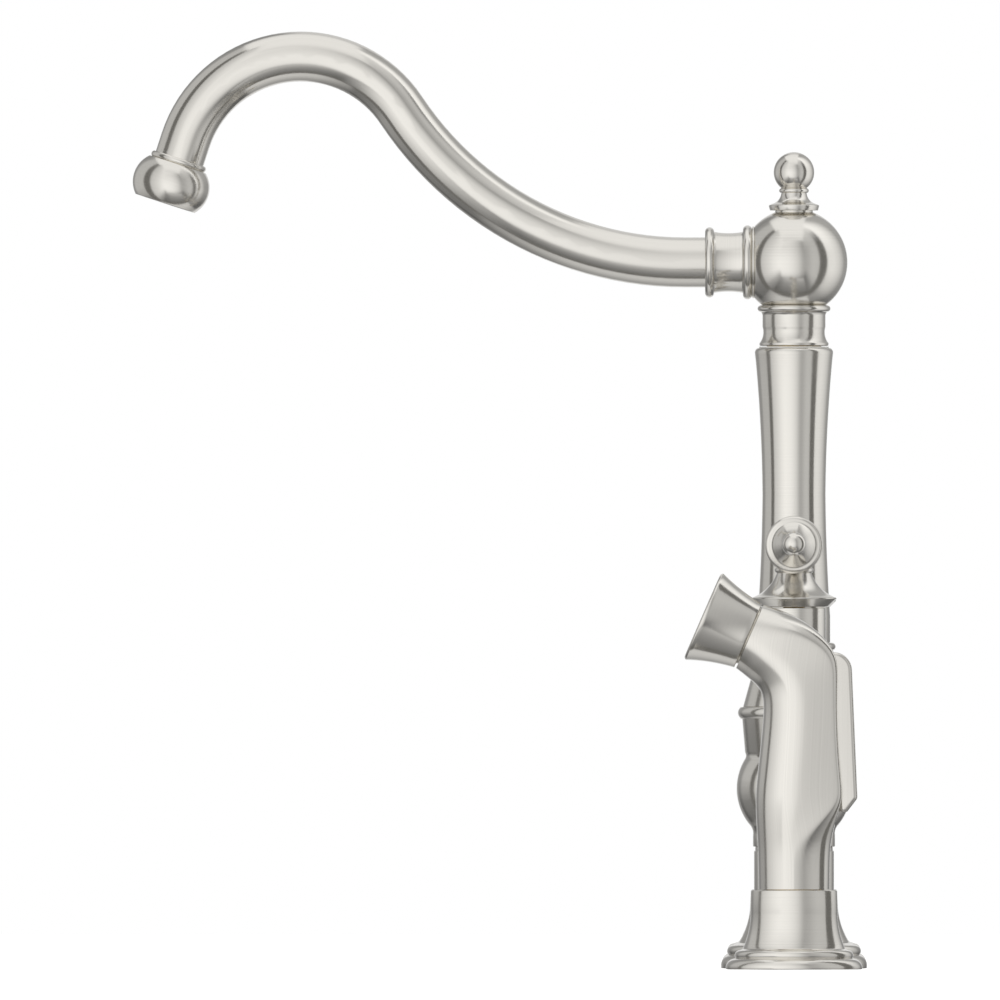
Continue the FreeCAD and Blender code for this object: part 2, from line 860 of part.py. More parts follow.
def ball_body(label, foot_height, ways):
    """A ball-waisted body, bored through, with a bridge port towards each given way along X."""
    lower_radius = leg_of(d.ball_radius, d.ball_drop)
    upper_radius = leg_of(d.ball_radius, d.ball_rise)
    bore = d.cartridge_radius + d.fit_clearance
    socket = tenon_radius + d.fit_clearance
    socket_top = foot_height + d.tenon_height
    body = turned(label, [
        (socket, foot_height),
        (foot_radius, foot_height),
        (foot_radius, foot_top, cove_share),
        (lower_radius, d.bridge_height - d.ball_drop, Centre(0, d.bridge_height, 1)),
        (upper_radius, d.bridge_height + d.ball_rise, cove_share),
        (d.waist_radius, d.bridge_height + d.waist_rise),
        (d.throat_radius, ring_low),
        (ring_flat_radius, ring_low, bulge_of_rise(d.ring_round, d.ring_height)),
        (ring_flat_radius, body_top),
        (bore, body_top),
        (bore, valve_seat),
        (d.waterway_radius, valve_seat),
        (d.waterway_radius, socket_top),
        (socket, socket_top),
    ])
    for name, way in ways.items():
        bridge_port(body, name, way)
    return body


def bridge_port(body, name, way):
    """A level port in the ball: a waterway, a socket for the tube, and a flat seat for its collar."""
    socket_floor = way * (ball_flat - d.tube_tenon)
    seat = way * ball_flat
    outside = way * (d.ball_radius + d.overrun)
    rise = d.bridge_height
    bored(body, "XZ_Plane", name, [
        (0, rise),
        (outside, rise),
        (outside, rise + port_clearance),
        (seat, rise + port_clearance),
        (seat, rise + tube_socket),
        (socket_floor, rise + tube_socket),
        (socket_floor, rise + tube_bore),
        (0, rise + tube_bore),
    ], rise)


def bonnet(label):
    """The cone that screws down over a cartridge, with a plain neck under the handle."""
    return turned(label, [
        (d.bonnet_inner_radius, body_top),
        (d.bonnet_radius, body_top),
        (d.bonnet_neck_radius, bonnet_cone_top),
        (d.bonnet_neck_radius, bonnet_top),
        (d.bonnet_bore_radius, bonnet_top),
        (d.bonnet_bore_radius, bonnet_cone_top - d.bonnet_bore_drop),
        (d.bonnet_inner_radius, body_top + d.bonnet_lip_height),
    ])


def cartridge(label):
    """A quarter-turn valve cartridge with a blind bore for its stem."""
    stem_bore = d.stem_radius + d.fit_clearance
    return turned(label, [
        (0, valve_seat),
        (d.cartridge_radius, valve_seat),
        (d.cartridge_radius, cartridge_flange),
        (d.cartridge_neck_radius, cartridge_flange),
        (d.cartridge_neck_radius, cartridge_flange + d.cartridge_neck_height),
        (stem_bore, cartridge_flange + d.cartridge_neck_height),
        (stem_bore, stem_floor),
        (0, stem_floor),
    ])


def make_valves():
    nuts = []
    for side, across in SIDES.items():
        inwards = 1 if side == "left" else -1
        place(ball_body(f"{side}_valve_body", riser_seat, {"port": inwards}), across)
        place(cartridge(f"{side}_cartridge"), across)
        place(bonnet(f"{side}_bonnet"), across)
        nut_low = cartridge_flange
        nut = ring(f"{side}_cartridge_nut", d.cartridge_neck_radius + d.fit_clearance, d.cartridge_radius,
                   nut_low, nut_low + d.cartridge_nut_height)
        nuts.append(place(nut, across))
    grouped("cartridge_nuts", nuts)


# Handles

def handle_hub(label, way):
    """A bell on a flange, with a collar and a ball that the lever screws into."""
    foot_height = bonnet_top + d.moving_gap
    stem_bore = d.stem_radius + d.fit_clearance
    collar_flat = d.hub_flare_radius
    ball_low = lever_axis - leg_of(d.hub_ball_radius, collar_flat)
    collar_rise = d.hub_collar_radius - collar_flat
    body = turned(label, [
        (stem_bore, foot_height),
        (d.hub_foot_radius, foot_height),
        (d.hub_flange_radius, hub_flange, bulge_of_rise(d.hub_flange_round, d.hub_flange_height)),
        (d.hub_flange_radius, hub_flare_foot, hub_flare_share),
        (collar_flat, hub_collar, bulge_of_rise(collar_rise, d.hub_collar_height)),
        (collar_flat, hub_collar_top),
        (collar_flat, ball_low, Centre(0, lever_axis, 1)),
        (0, lever_axis + d.hub_ball_radius),
        (0, stem_ceiling),
        (stem_bore, stem_ceiling),
    ])
    socket_floor = way * (d.lever_seat - d.lever_tenon_length)
    seat = way * d.lever_seat
    outside = way * (d.hub_ball_radius + d.overrun)
    axis = lever_axis
    tenon_bore = d.lever_tenon_radius + d.fit_clearance
    neck_room = leg_of(d.hub_ball_radius, d.lever_seat)
    bored(body, "XZ_Plane", "socket", [
        (socket_floor, axis),
        (outside, axis),
        (outside, axis + neck_room),
        (seat, axis + neck_room),
        (seat, axis + tenon_bore),
        (socket_floor, axis + tenon_bore),
    ], axis)
    return body


def lever(label):
    """A slim lever: a round-edged disc, a trumpet flare, a bead and a ball tip."""
    disc_flat = d.lever_disc_radius - d.lever_disc_round
    disc_width = d.lever_disc_end - d.lever_disc_start
    ball_centre = d.lever_length - d.lever_ball_radius
    ball_start = ball_centre - leg_of(d.lever_ball_radius, d.lever_stem_radius)
    tenon_start = d.lever_seat - d.lever_tenon_length + d.moving_gap
    return turned(label, [
        (0, tenon_start),
        (d.lever_tenon_radius, tenon_start),
        (d.lever_tenon_radius, d.lever_seat),
        (d.lever_neck_radius, d.lever_seat),
        (d.lever_neck_radius, d.lever_disc_start),
        (disc_flat, d.lever_disc_start, bulge_of_rise(d.lever_disc_round, disc_width)),
        (disc_flat, d.lever_disc_end),
        (d.lever_flare_radius, d.lever_disc_end, lever_flare_share),
        (d.lever_stem_radius, d.lever_flare_end),
        (d.lever_stem_radius, d.lever_stem_end,
         bulge_of_rise(d.lever_bead_round, d.lever_bead_end - d.lever_stem_end)),
        (d.lever_stem_radius, d.lever_bead_end),
        (d.lever_stem_radius, ball_start, Centre(0, ball_centre, 1)),
        (0, d.lever_length),
    ])


def make_handles():
    for side, across in SIDES.items():
        outwards = -1 if side == "left" else 1
        place(handle_hub(f"{side}_handle_hub", outwards), across)
        place(lever(f"{side}_lever"), across, 0, lever_axis, Y_AXIS, outwards * RIGHT_ANGLE)
        stem_low = stem_floor + d.moving_gap
        stem_high = stem_ceiling - d.moving_gap
        stem = turned(f"{side}_valve_stem", [
            (0, stem_low),
            (d.stem_radius, stem_low),
            (d.stem_radius, stem_high),
            (0, stem_high),
        ])
        place(stem, across)


# Bridge

def collar(label):
    """A turned collar from its seat outwards: a step, a bead, a hollow sleeve and a second bead."""
    step_radius = tube_socket + d.collar_step_wall
    sleeve_radius = tube_socket + d.collar_sleeve_wall
    rear_flat = tube_socket + d.collar_rear_bead_wall - d.collar_bead_round
    front_flat = tube_socket + d.collar_front_bead_wall - d.collar_bead_round
    rear_end = d.collar_step_width + d.collar_rear_bead_width
    sleeve_end = rear_end + d.collar_sleeve_length
    return turned(label, [
        (tube_socket, 0),
        (step_radius, 0),
        (step_radius, d.collar_step_width),
        (rear_flat, d.collar_step_width, bulge_of_rise(d.collar_bead_round, d.collar_rear_bead_width)),
        (rear_flat, rear_end),
        (sleeve_radius, rear_end, soft_cove_share),
        (sleeve_radius, sleeve_end),
        (front_flat, sleeve_end, bulge_of_rise(d.collar_bead_round, d.collar_front_bead_width)),
        (front_flat, collar_length),
        (tube_socket, collar_length),
    ])


def bridge_arm(label):
    """A straight tube between the ball of a leg and the ball of the hub."""
    body = new_body(label)
    section = new_sketch(body, "YZ_Plane", "section")
    draw_circle(section, d.tube_radius)
    draw_circle(section, tube_bore)
    length = leg_place - 2 * (ball_flat - d.tube_tenon) - 2 * d.moving_gap
    padded(body, section, length, both_ways=True)
    return body


def make_bridge():
    foot = foot_top - d.hub_foot_length
    place(ball_body("centre_hub", foot, {"left_port": -1, "right_port": 1}))
    for side, across in SIDES.items():
        outwards = -1 if side == "left" else 1
        place(bridge_arm(f"{side}_bridge_arm"), across / 2, 0, d.bridge_height)
        leg_seat = across - outwards * ball_flat
        hub_seat = outwards * ball_flat
        place(collar(f"{side}_leg_collar"), leg_seat, 0, d.bridge_height, Y_AXIS, -outwards * RIGHT_ANGLE)
        place(collar(f"{side}_hub_collar"), hub_seat, 0, d.bridge_height, Y_AXIS, outwards * RIGHT_ANGLE)
    rim = foot - d.plug_rim_height
    turned("hub_plug", [
        (0, foot - d.plug_height, plug_dome_share),
        (foot_radius, rim),
        (foot_radius, foot),
        (tenon_radius, foot),
        (tenon_radius, foot + d.tenon_height),
        (0, foot + d.tenon_height),
    ])


# Diverter and column

def make_diverter():
    bore = d.diverter_bore_radius + d.fit_clearance
    floor = valve_seat + d.diverter_floor
    turned("diverter_body", [
        (d.diverter_port_radius, valve_seat),
        (d.cartridge_radius, valve_seat),
        (d.cartridge_radius, body_top),
        (bore, body_top),
        (bore, floor),
        (d.diverter_port_radius, floor),
    ])
    piston_low = floor + d.moving_gap
    piston_high = piston_low + d.diverter_piston_length
    turned("diverter_piston", [
        (0, piston_low),
        (d.diverter_bore_radius, piston_low),
        (d.diverter_bore_radius, piston_high),
        (d.diverter_rod_radius, piston_high),
        (d.diverter_rod_radius, piston_high + d.diverter_rod_length),
        (0, piston_high + d.diverter_rod_length),
    ])


def make_column():
    tenon_bore = d.column_tenon_radius + d.fit_clearance
    turned("column_base", [
        (d.base_bore_radius, body_top),
        (d.bonnet_radius, body_top, base_cove_share),
        (d.base_top_radius, base_top),
        (tenon_bore, base_top),
        (tenon_bore, body_top + d.base_bore_height),
        (d.base_bore_radius, body_top + d.base_bore_height),
    ])
    lip_flat = d.lip_radius - d.lip_round
    turned("column_lip", [
        (tenon_bore, base_top),
        (lip_flat, base_top, bulge_of_rise(d.lip_round, d.lip_height)),
        (lip_flat, lip_top),
        (tenon_bore, lip_top),
    ])
    turned("column", [
        (d.column_bore_radius, lip_top - d.column_tenon_length),
        (d.column_tenon_radius, lip_top - d.column_tenon_length),
        (d.column_tenon_radius, lip_top),
        (d.column_foot_radius, lip_top),
        (d.column_foot_radius, column_foot, column_low_share),
        (d.column_waist_radius, column_waist, column_high_share),
        (d.column_neck_radius, column_neck),
        (d.column_shoulder_radius, column_shoulder, rim_share),
        (d.column_rim_radius, column_top),
        (spigot_bore, column_top),
        (spigot_bore, spigot_socket),
        (d.column_bore_radius, spigot_socket),
    ])
    ring("swivel_washer", spigot_bore, d.swivel_washer_radius,
         column_top, column_top + d.swivel_washer_height)


# Spout

def make_spigot():
    """The spout's spigot, which turns in the column on two ring seals."""
    groove_radius = d.spigot_radius - d.ring_section
    spigot_foot = spigot_socket + d.spigot_end_room
    points = [(d.spigot_bore_radius, spigot_foot), (d.spigot_radius, spigot_foot)]
    seals = []
    for name, step in (("lower_seal", 0), ("upper_seal", 1)):
        middle = spigot_foot + d.ring_groove_rise + d.ring_groove_step * step
        low = middle - d.ring_groove_width / 2
        high = middle + d.ring_groove_width / 2
        points += [(d.spigot_radius, low), (groove_radius, low)]
        points += [(groove_radius, high), (d.spigot_radius, high)]
        seals.append(turned(name, [
            (groove_radius, middle, full_round_share),
            (d.spigot_radius, middle, full_round_share),
        ]))
    points += [(d.spigot_radius, spout_seat), (d.spigot_bore_radius, spout_seat)]
    turned("spout_spigot", points)
    grouped("spigot_seals", seals)


def make_spout_post():
    """The neck, the ball and the finial that stand on the spigot."""
    bead_flat = d.neck_bead_radius - d.neck_bead_round
    bead_low = spout_seat - d.neck_bead_width
    turned("spout_neck", [
        (spigot_bore, neck_foot),
        (d.neck_foot_radius, neck_foot),
        (d.neck_foot_radius, neck_foot + d.neck_foot_height, cove_share),
        (d.neck_radius, neck_foot + d.neck_cove_rise),
        (d.neck_radius, neck_foot + d.neck_flare_rise, cove_share),
        (bead_flat, bead_low, bulge_of_rise(d.neck_bead_round, d.neck_bead_width)),
        (bead_flat, spout_seat),
        (spigot_bore, spout_seat),
    ])
    lower_radius = leg_of(d.spout_ball_radius, d.spout_ball_drop)
    upper_radius = leg_of(d.spout_ball_radius, d.spout_ball_rise)
    stud_bore = d.finial_stud_radius + d.fit_clearance
    stud_floor = finial_seat - d.finial_stud_length - d.moving_gap
    chamber_top = spout_axis + d.spigot_bore_radius
    ball = turned("spout_ball", [
        (d.spigot_bore_radius, spout_seat),
        (lower_radius, spout_seat, Centre(0, spout_axis, 1)),
        (upper_radius, finial_seat),
        (stud_bore, finial_seat),
        (stud_bore, stud_floor),
        (0, stud_floor),
        (0, chamber_top),
        (d.spigot_bore_radius, chamber_top),
    ])
    outside = -(d.spout_ball_radius + d.overrun)
    bored(ball, "YZ_Plane", "port", [
        (0, spout_axis),
        (outside, spout_axis),
        (outside, spout_axis + port_clearance),
        (-spout_flat, spout_axis + port_clearance),
        (-spout_flat, spout_axis + tube_socket),
        (d.tube_tenon - spout_flat, spout_axis + tube_socket),
        (d.tube_tenon - spout_flat, spout_axis + tube_bore),
        (0, spout_axis + tube_bore),
    ], spout_axis)
    place(collar("spout_collar"), 0, -spout_flat, spout_axis, X_AXIS, RIGHT_ANGLE)


def make_finial():
    """A small turned finial: flange, trumpet, bead and ball."""
    foot = finial_seat
    flange_low = foot + d.finial_foot_height
    flange_high = flange_low + d.finial_flange_width
    flange_foot = d.finial_flange_radius - d.finial_flange_taper
    neck = foot + d.finial_neck_rise
    ball_centre = foot + d.finial_ball_rise
    ball_low = ball_centre - leg_of(d.finial_ball_radius, d.finial_neck_radius)
    turned("finial", [
        (0, foot - d.finial_stud_length),
        (d.finial_stud_radius, foot - d.finial_stud_length),
        (d.finial_stud_radius, foot),
        (d.finial_foot_radius, foot),
        (d.finial_foot_radius, flange_low),
        (flange_foot, flange_low),
        (d.finial_flange_radius, flange_high),
        (d.finial_flare_radius, flange_high + d.finial_shoulder_rise, finial_flare_share),
        (d.finial_neck_radius, neck,
         bulge_of_rise(d.finial_bead_round, ball_low - neck)),
        (d.finial_neck_radius, ball_low, Centre(0, ball_centre, 1)),
        (0, ball_centre + d.finial_ball_radius),
    ])


def spout_route():
    """The spout's centre line in the YZ plane: a level run, a rising bend, an arch and a short tail."""
    start = (-(spout_flat - d.tube_tenon + d.moving_gap), spout_axis)
    bend = (-d.spout_run, spout_axis)
    crest = (bend[0] - d.bend_radius * sine(d.rise_angle),
             bend[1] + d.bend_radius * (1 - cosine(d.rise_angle)))
    fall = (crest[0] - d.arch_radius * (sine(d.rise_angle) + sine(d.drop_angle)),
            crest[1] + d.arch_radius * (cosine(d.drop_angle) - cosine(d.rise_angle)))
    mouth = (fall[0] - d.spout_tail_length * cosine(d.drop_angle),
             fall[1] - d.spout_tail_length * sine(d.drop_angle))
    return start, bend, crest, fall, mouth


def make_spout_tube():
    start, bend, crest, fall, mouth = spout_route()
    reach = d.nozzle_socket - d.moving_gap
    end = (mouth[0] - reach * cosine(d.drop_angle), mouth[1] - reach * sine(d.drop_angle))
    body = new_body("spout_tube")
    section = new_sketch(body, "XZ_Plane", "section")
    offset_sketch(section, out=-start[0])
    draw_circle(section, d.tube_radius, up=spout_axis)
    draw_circle(section, tube_bore, up=spout_axis)
    route = new_sketch(body, "YZ_Plane", "route")
    draw(route, [
        start,
        (*bend, -bulge_of(d.rise_angle)),
        (*crest, bulge_of(d.rise_angle + d.drop_angle)),
        fall,
        end,
    ], closed=False)
    tube = body.newObject("PartDesign::AdditivePipe", "spout_tube_pipe")
    tube.Profile = section
    tube.Spine = route


def make_nozzle():
    """The bulb at the spout's mouth, with its washer and its stream former."""
    mouth = spout_route()[-1]
    turn = RIGHT_ANGLE + d.drop_angle
    ring_flat = tube_socket + d.nozzle_ring_wall - d.nozzle_ring_round
    aerator_radius = tube_socket + d.aerator_step
    aerator_bore = aerator_radius + d.fit_clearance
    washer_low = d.nozzle_shelf
    washer_high = washer_low + d.aerator_washer_height
    former_high = washer_high + d.aerator_length
    pieces = [
        turned("nozzle", [
            (tube_socket, 0),
            (ring_flat, 0, bulge_of_rise(d.nozzle_ring_round, d.nozzle_ring_width)),
            (ring_flat, d.nozzle_ring_width),
            (tube_socket + d.nozzle_bulb_wall, d.nozzle_ring_width, bulb_share),
            (tube_socket + d.nozzle_outlet_wall, d.nozzle_length),
            (aerator_bore, d.nozzle_length),
            (aerator_bore, washer_low),
            (tube_bore, washer_low),
            (tube_bore, d.nozzle_socket),
            (tube_socket, d.nozzle_socket),
        ]),
        ring("aerator_washer", d.aerator_washer_bore, aerator_radius, washer_low, washer_high),
        turned("aerator_insert", [
            (0, washer_high),
            (aerator_radius, washer_high),
            (aerator_radius, former_high),
            (aerator_radius - d.aerator_rim_width, former_high),
            (aerator_radius - d.aerator_rim_width, former_high - d.aerator_recess),
            (0, former_high - d.aerator_recess),
        ]),
    ]
    for piece in pieces:
        place(piece, 0, *mouth, X_AXIS, turn)


# Sprayer holder

def make_spray_holder():
    across = d.spray_offset
    bore = d.guide_radius + d.slip_clearance
    counterbore = (guide_flange + d.slip_clearance, d.guide_flange_height)
    place(escutcheon("spray_escutcheon", "holder", bore, counterbore), across)
    flange_low = d.holder_top_height - d.guide_flange_height
    guide = turned("spray_guide", [
        (guide_bore, -d.guide_depth),
        (d.guide_radius, -d.guide_depth),
        (d.guide_radius, flange_low),
        (guide_flange, flange_low),
        (guide_flange, d.holder_top_height),
        (guide_bore, d.holder_top_height),
    ])
    place(guide, across)
    inner = d.guide_radius + d.moving_gap
    outer = d.holder_mouth_radius - d.slip_clearance
    place(ring("spray_gasket", inner, outer, 0, d.gasket_height), across)
    place(ring("spray_washer", inner, d.washer_radius, washer_height, -d.deck_room), across)
    nut = hexagon_nut("spray_nut", d.nut_flats, d.guide_radius + d.fit_clearance, d.nut_height)
    place(nut, across, 0, nut_place)


# Sprayer

def in_holder(body, along=0, up=0, turn=0):
    """Place a piece of the sprayer, whose own origin is the middle of the grip's foot."""
    return place(body, d.spray_offset, along, grip_foot_height + up, X_AXIS, turn)


GRIP_SECTIONS = ("foot", "band", "cuff", "swell", "palm", "neck", "shoulder", "crown", "seam")


def grip_section(name):
    """Radius, distance back, height and tilt of one section of the grip."""
    height = getattr(d, f"grip_{name}_height", sized(0))
    back = getattr(d, f"grip_{name}_back", sized(0))
    tilt = getattr(d, f"grip_{name}_tilt", sized(0))
    return getattr(d, f"grip_{name}_radius"), back, height, tilt


def grip_outline(name, radius):
    """A half round in front, and behind it two sides that lean in to a flat back with rounded edges."""
    turn = getattr(d, f"grip_{name}_turn", d.grip_round_turn)
    edge = getattr(d, f"grip_{name}_edge", radius * grip_round_share)
    edge_depth = edge * (1 - sine(turn))
    back = getattr(d, f"grip_{name}_reach", radius * sine(turn) + edge_depth)
    side_end = back - edge_depth
    side_across = radius - side_end * sine(turn / 2) / cosine(turn / 2)
    back_across = side_across - edge * cosine(turn)
    side_curve = bulge_of(turn)
    edge_curve = bulge_of(RIGHT_ANGLE - turn)
    return [
        (-radius, 0, full_round_share),
        (radius, 0, side_curve),
        (side_across, side_end, edge_curve),
        (back_across, back),
        (-back_across, back, edge_curve),
        (-side_across, side_end, side_curve),
    ]


def make_grip():
    """The hand grip: a round cuff lofted into a flat-sided handle and forward to a round seam."""
    body = new_body("spray_grip")
    sketches = []
    for name in GRIP_SECTIONS:
        radius, back, height, tilt = grip_section(name)
        sketch = new_sketch(body, "XY_Plane", name)
        offset_sketch(sketch, up=back, out=height, tilt=tilt)
        draw(sketch, grip_outline(name, radius))
        sketches.append(sketch)
    loft = body.newObject("PartDesign::AdditiveLoft", "spray_grip_loft")
    loft.Profile = sketches[0]
    loft.Sections = sketches[1:]
    doc.recompute()
    tail_bore = d.tail_tenon_radius + d.fit_clearance
    tail_top = d.tail_tenon_height + d.moving_gap
    bored(body, "XZ_Plane", "tail_socket", [
        (0, -d.overrun),
        (tail_bore, -d.overrun),
        (tail_bore, tail_top),
        (0, tail_top),
    ])
    head_socket = new_sketch(body, "XY_Plane", "head_socket")
    offset_sketch(head_socket, up=d.grip_seam_back, out=d.grip_seam_height, tilt=d.grip_seam_tilt)
    draw_circle(head_socket, d.head_tenon_radius + d.fit_clearance)
    pocketed(body, head_socket, d.head_tenon_length + d.moving_gap)
    slot = new_sketch(body, "YZ_Plane", "slot")
    draw(slot, [
        (d.slot_foot_back, d.slot_foot_height),
        (d.slot_depth_room, d.slot_foot_height),
        (d.slot_depth_room, d.slot_top_height),
        (d.slot_top_back, d.slot_top_height),
    ])
    pocketed(body, slot, d.trigger_width + 2 * d.moving_gap, both_ways=True)
    pin_hole = new_sketch(body, "YZ_Plane", "pin_hole")
    draw_circle(pin_hole, d.trigger_pin_radius + d.fit_clearance,
                d.trigger_pivot_back, d.trigger_pivot_height)
    pocketed(body, pin_hole, d.trigger_pin_length + d.moving_gap, both_ways=True)
    plunger_hole = new_sketch(body, "XZ_Plane", "plunger_hole")
    offset_sketch(plunger_hole, out=d.plunger_room - d.plunger_inner_back)
    draw_circle(plunger_hole, d.plunger_radius + d.fit_clearance, up=d.plunger_height)
    pocketed(body, plunger_hole, d.slot_depth_room)
    in_holder(body)


def make_tail():
    """The hose connector under the grip, with a blind threaded mouth for the hose."""
    foot = -d.tail_length
    thread_top = foot + d.hose_thread_length
    tail = turned("spray_tail", [
        (d.hose_thread_radius, foot),
        (tail_radius, foot),
        (tail_radius, 0),
        (d.tail_tenon_radius, 0),
        (d.tail_tenon_radius, d.tail_tenon_height),
        (d.tail_bore_radius, d.tail_tenon_height),
        (d.tail_bore_radius, thread_top),
        (d.hose_thread_radius, thread_top),
    ])
    in_holder(tail)


def make_spray_head():
    """The flared head and its face, on an axis square to the grip's seam."""
    face_seat = d.head_length - d.face_recess - d.face_thickness
    seam_radius = d.grip_seam_radius - d.head_seam_depth
    rim_low = d.head_length - d.head_rim_height
    rim_middle = d.head_length - d.head_rim_height / 2
    head = turned("spray_head", [
        (d.head_bore_radius, -d.head_tenon_length),
        (d.head_tenon_radius, -d.head_tenon_length),
        (d.head_tenon_radius, 0),
        (seam_radius, 0),
        (seam_radius, d.head_seam_width),
        (d.grip_seam_radius, d.head_seam_width, head_flare_share),
        (d.head_flare_radius, rim_low),
        (d.head_rim_radius, rim_middle, rim_share),
        (d.head_lip_radius, d.head_length),
        (d.head_mouth_radius, d.head_length),
        (d.head_mouth_radius, face_seat),
        (d.head_bore_radius, face_seat),
    ])
    face_radius = d.head_mouth_radius - d.slip_clearance
    face_top = face_seat + d.face_thickness
    face_edge = face_top - d.face_bevel
    face = turned("spray_face", [
        (0, face_seat),
        (face_radius, face_seat),
        (face_radius, face_edge),
        (face_radius - d.face_bevel, face_top),
        (0, face_top),
    ])
    doc.recompute()
    for name, radius, count in (("outer_jets", d.jet_ring_radius, JET_COUNT),
                                ("inner_jets", d.jet_ring_inner_radius, JET_INNER_COUNT)):
        jets = new_sketch(face, "XY_Plane", name)
        offset_sketch(jets, out=face_seat - d.overrun)
        draw_circle(jets, d.jet_radius, radius)
        jet = pocketed(face, jets, d.head_length, forwards=True)
        pattern = face.newObject("PartDesign::PolarPattern", f"{name}_pattern")
        pattern.Originals = [jet]
        pattern.Axis = (jets, ["N_Axis"])
        pattern.Angle = WHOLE_TURN
        pattern.Occurrences = count
        face.Tip = pattern
        doc.recompute()
    for piece in (head, face):
        in_holder(piece, d.grip_seam_back, d.grip_seam_height, d.grip_seam_tilt)


def make_trigger():
    """The thumb lever in the back of the grip, its pin and the valve plunger that it presses."""
    body = new_body("spray_trigger")
    side = new_sketch(body, "YZ_Plane", "side")
    heel = (d.trigger_heel_back, d.trigger_heel_height)
    crest = (d.trigger_crest_back, d.trigger_crest_height)
    draw(side, [
        (d.trigger_root_back, d.trigger_root_low),
        (d.trigger_tip_back, d.trigger_tip_height),
        (d.trigger_tip_back + d.trigger_tip_width, d.trigger_tip_height),
        heel,
        crest,
        (d.trigger_root_back, d.trigger_root_high),
    ])
    shape = padded(body, side, d.trigger_width, both_ways=True)
    for name, corner in (("heel", heel), ("crest", crest)):
        radius = getattr(d, f"trigger_{name}_round")
        shape = rounded(body, name, shape, corner_edges(shape, *corner), radius)
    cheeks = side_faces(shape, d.trigger_width / 2)
    rounded(body, "edges", shape, cheeks, d.trigger_edge_round)
    hole = new_sketch(body, "YZ_Plane", "pin_hole")
    draw_circle(hole, d.trigger_pin_radius + d.fit_clearance, d.trigger_pivot_back, d.trigger_pivot_height)
    pocketed(body, hole, d.trigger_width + d.overrun, both_ways=True)
    in_holder(body)
    pin = new_body("trigger_pin")
    circle = new_sketch(pin, "YZ_Plane", "section")
    draw_circle(circle, d.trigger_pin_radius, d.trigger_pivot_back, d.trigger_pivot_height)
    padded(pin, circle, d.trigger_pin_length, both_ways=True)
    in_holder(pin)
    plunger = turned("spray_plunger", [
        (0, 0),
        (d.plunger_radius, 0),
        (d.plunger_radius, d.plunger_length),
        (0, d.plunger_length),
    ])
    in_holder(plunger, d.plunger_inner_back, d.plunger_height, -RIGHT_ANGLE)


# The whole faucet

make_leg_bases()
make_valves()
make_handles()
make_bridge()
make_diverter()
make_column()
make_spigot()
make_spout_post()
make_finial()
make_spout_tube()
make_nozzle()
make_spray_holder()
make_grip()
make_tail()
make_spray_head()
make_trigger()
doc.recompute()

failed = [item.Label for item in doc.Objects if {"Invalid", "Error"} & set(item.State)]
failed += [part.Label for part in SUBPARTS if part.Shape.isNull() or not part.Shape.isValid()]
if failed:
    raise ValueError(f"not sound: {failed}")

os.makedirs("parts", exist_ok=True)
for part in SUBPARTS:
    part.Shape.exportStep(os.path.join("parts", f"{part.Label}.step"))
print(f"{len(SUBPARTS)} sub-parts written")
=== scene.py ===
# %% [markdown]
# A bridge kitchen faucet in brushed nickel
#
# The frame holds every piece of the faucet at its real size. This lesson turns those plain solids into
# finished metal. Outlines are spun again with rounded edges, ports are cut, the sprayer's grip is built from
# rings, small parts such as spray nubs are added, and each finish is built from shader nodes. A light tent
# then gives the metal something to reflect, and the camera looks straight at the faucet's side.

import json
import math

import bmesh
import bpy
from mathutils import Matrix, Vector


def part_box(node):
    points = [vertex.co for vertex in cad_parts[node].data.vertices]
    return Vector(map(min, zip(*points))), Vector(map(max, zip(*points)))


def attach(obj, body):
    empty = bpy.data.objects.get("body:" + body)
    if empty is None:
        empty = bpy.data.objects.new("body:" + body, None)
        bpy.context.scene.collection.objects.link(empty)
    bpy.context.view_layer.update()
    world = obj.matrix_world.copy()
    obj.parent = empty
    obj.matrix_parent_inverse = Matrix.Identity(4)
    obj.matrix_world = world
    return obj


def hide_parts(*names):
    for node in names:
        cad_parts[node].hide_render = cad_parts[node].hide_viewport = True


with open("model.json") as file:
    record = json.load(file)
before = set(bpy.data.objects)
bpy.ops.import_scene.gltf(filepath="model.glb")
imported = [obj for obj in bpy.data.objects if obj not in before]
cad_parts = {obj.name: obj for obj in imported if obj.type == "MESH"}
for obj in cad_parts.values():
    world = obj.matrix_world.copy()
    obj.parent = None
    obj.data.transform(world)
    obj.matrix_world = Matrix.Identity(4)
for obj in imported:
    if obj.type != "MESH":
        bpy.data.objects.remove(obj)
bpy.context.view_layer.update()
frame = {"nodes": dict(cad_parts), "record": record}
nodes = frame["nodes"]
record = frame["record"]
body_of = {node: body for body, members in record["behaviour"]["bodies"].items() for node in members}
slot_of = {part["node"]: part["material_slot"] for part in record["subparts"]}

# %% [markdown]
# Working by hand, in code
#
# Every operator acts on what is selected, so each step first selects one object alone. In edit mode the
# vertices, edges or faces to work on are picked by a test on their place, as a person would pick them by
# eye.

# %% Select and pick
MM = 0.001
ALONG_X = Vector((1, 0, 0))
ALONG_Y = Vector((0, 1, 0))
ALONG_Z = Vector((0, 0, 1))
SELECT_MODES = {"verts": "VERT", "edges": "EDGE", "faces": "FACE"}


def only(piece):
    """Selects one object alone, in object mode."""
    if bpy.context.mode != "OBJECT":
        bpy.ops.object.mode_set(mode="OBJECT")
    bpy.ops.object.select_all(action="DESELECT")
    piece.select_set(True)
    bpy.context.view_layer.objects.active = piece


def edit(piece):
    """Opens a piece in edit mode with everything selected."""
    only(piece)
    bpy.ops.object.mode_set(mode="EDIT")
    bpy.ops.mesh.select_mode(type="VERT")
    bpy.ops.mesh.select_all(action="SELECT")


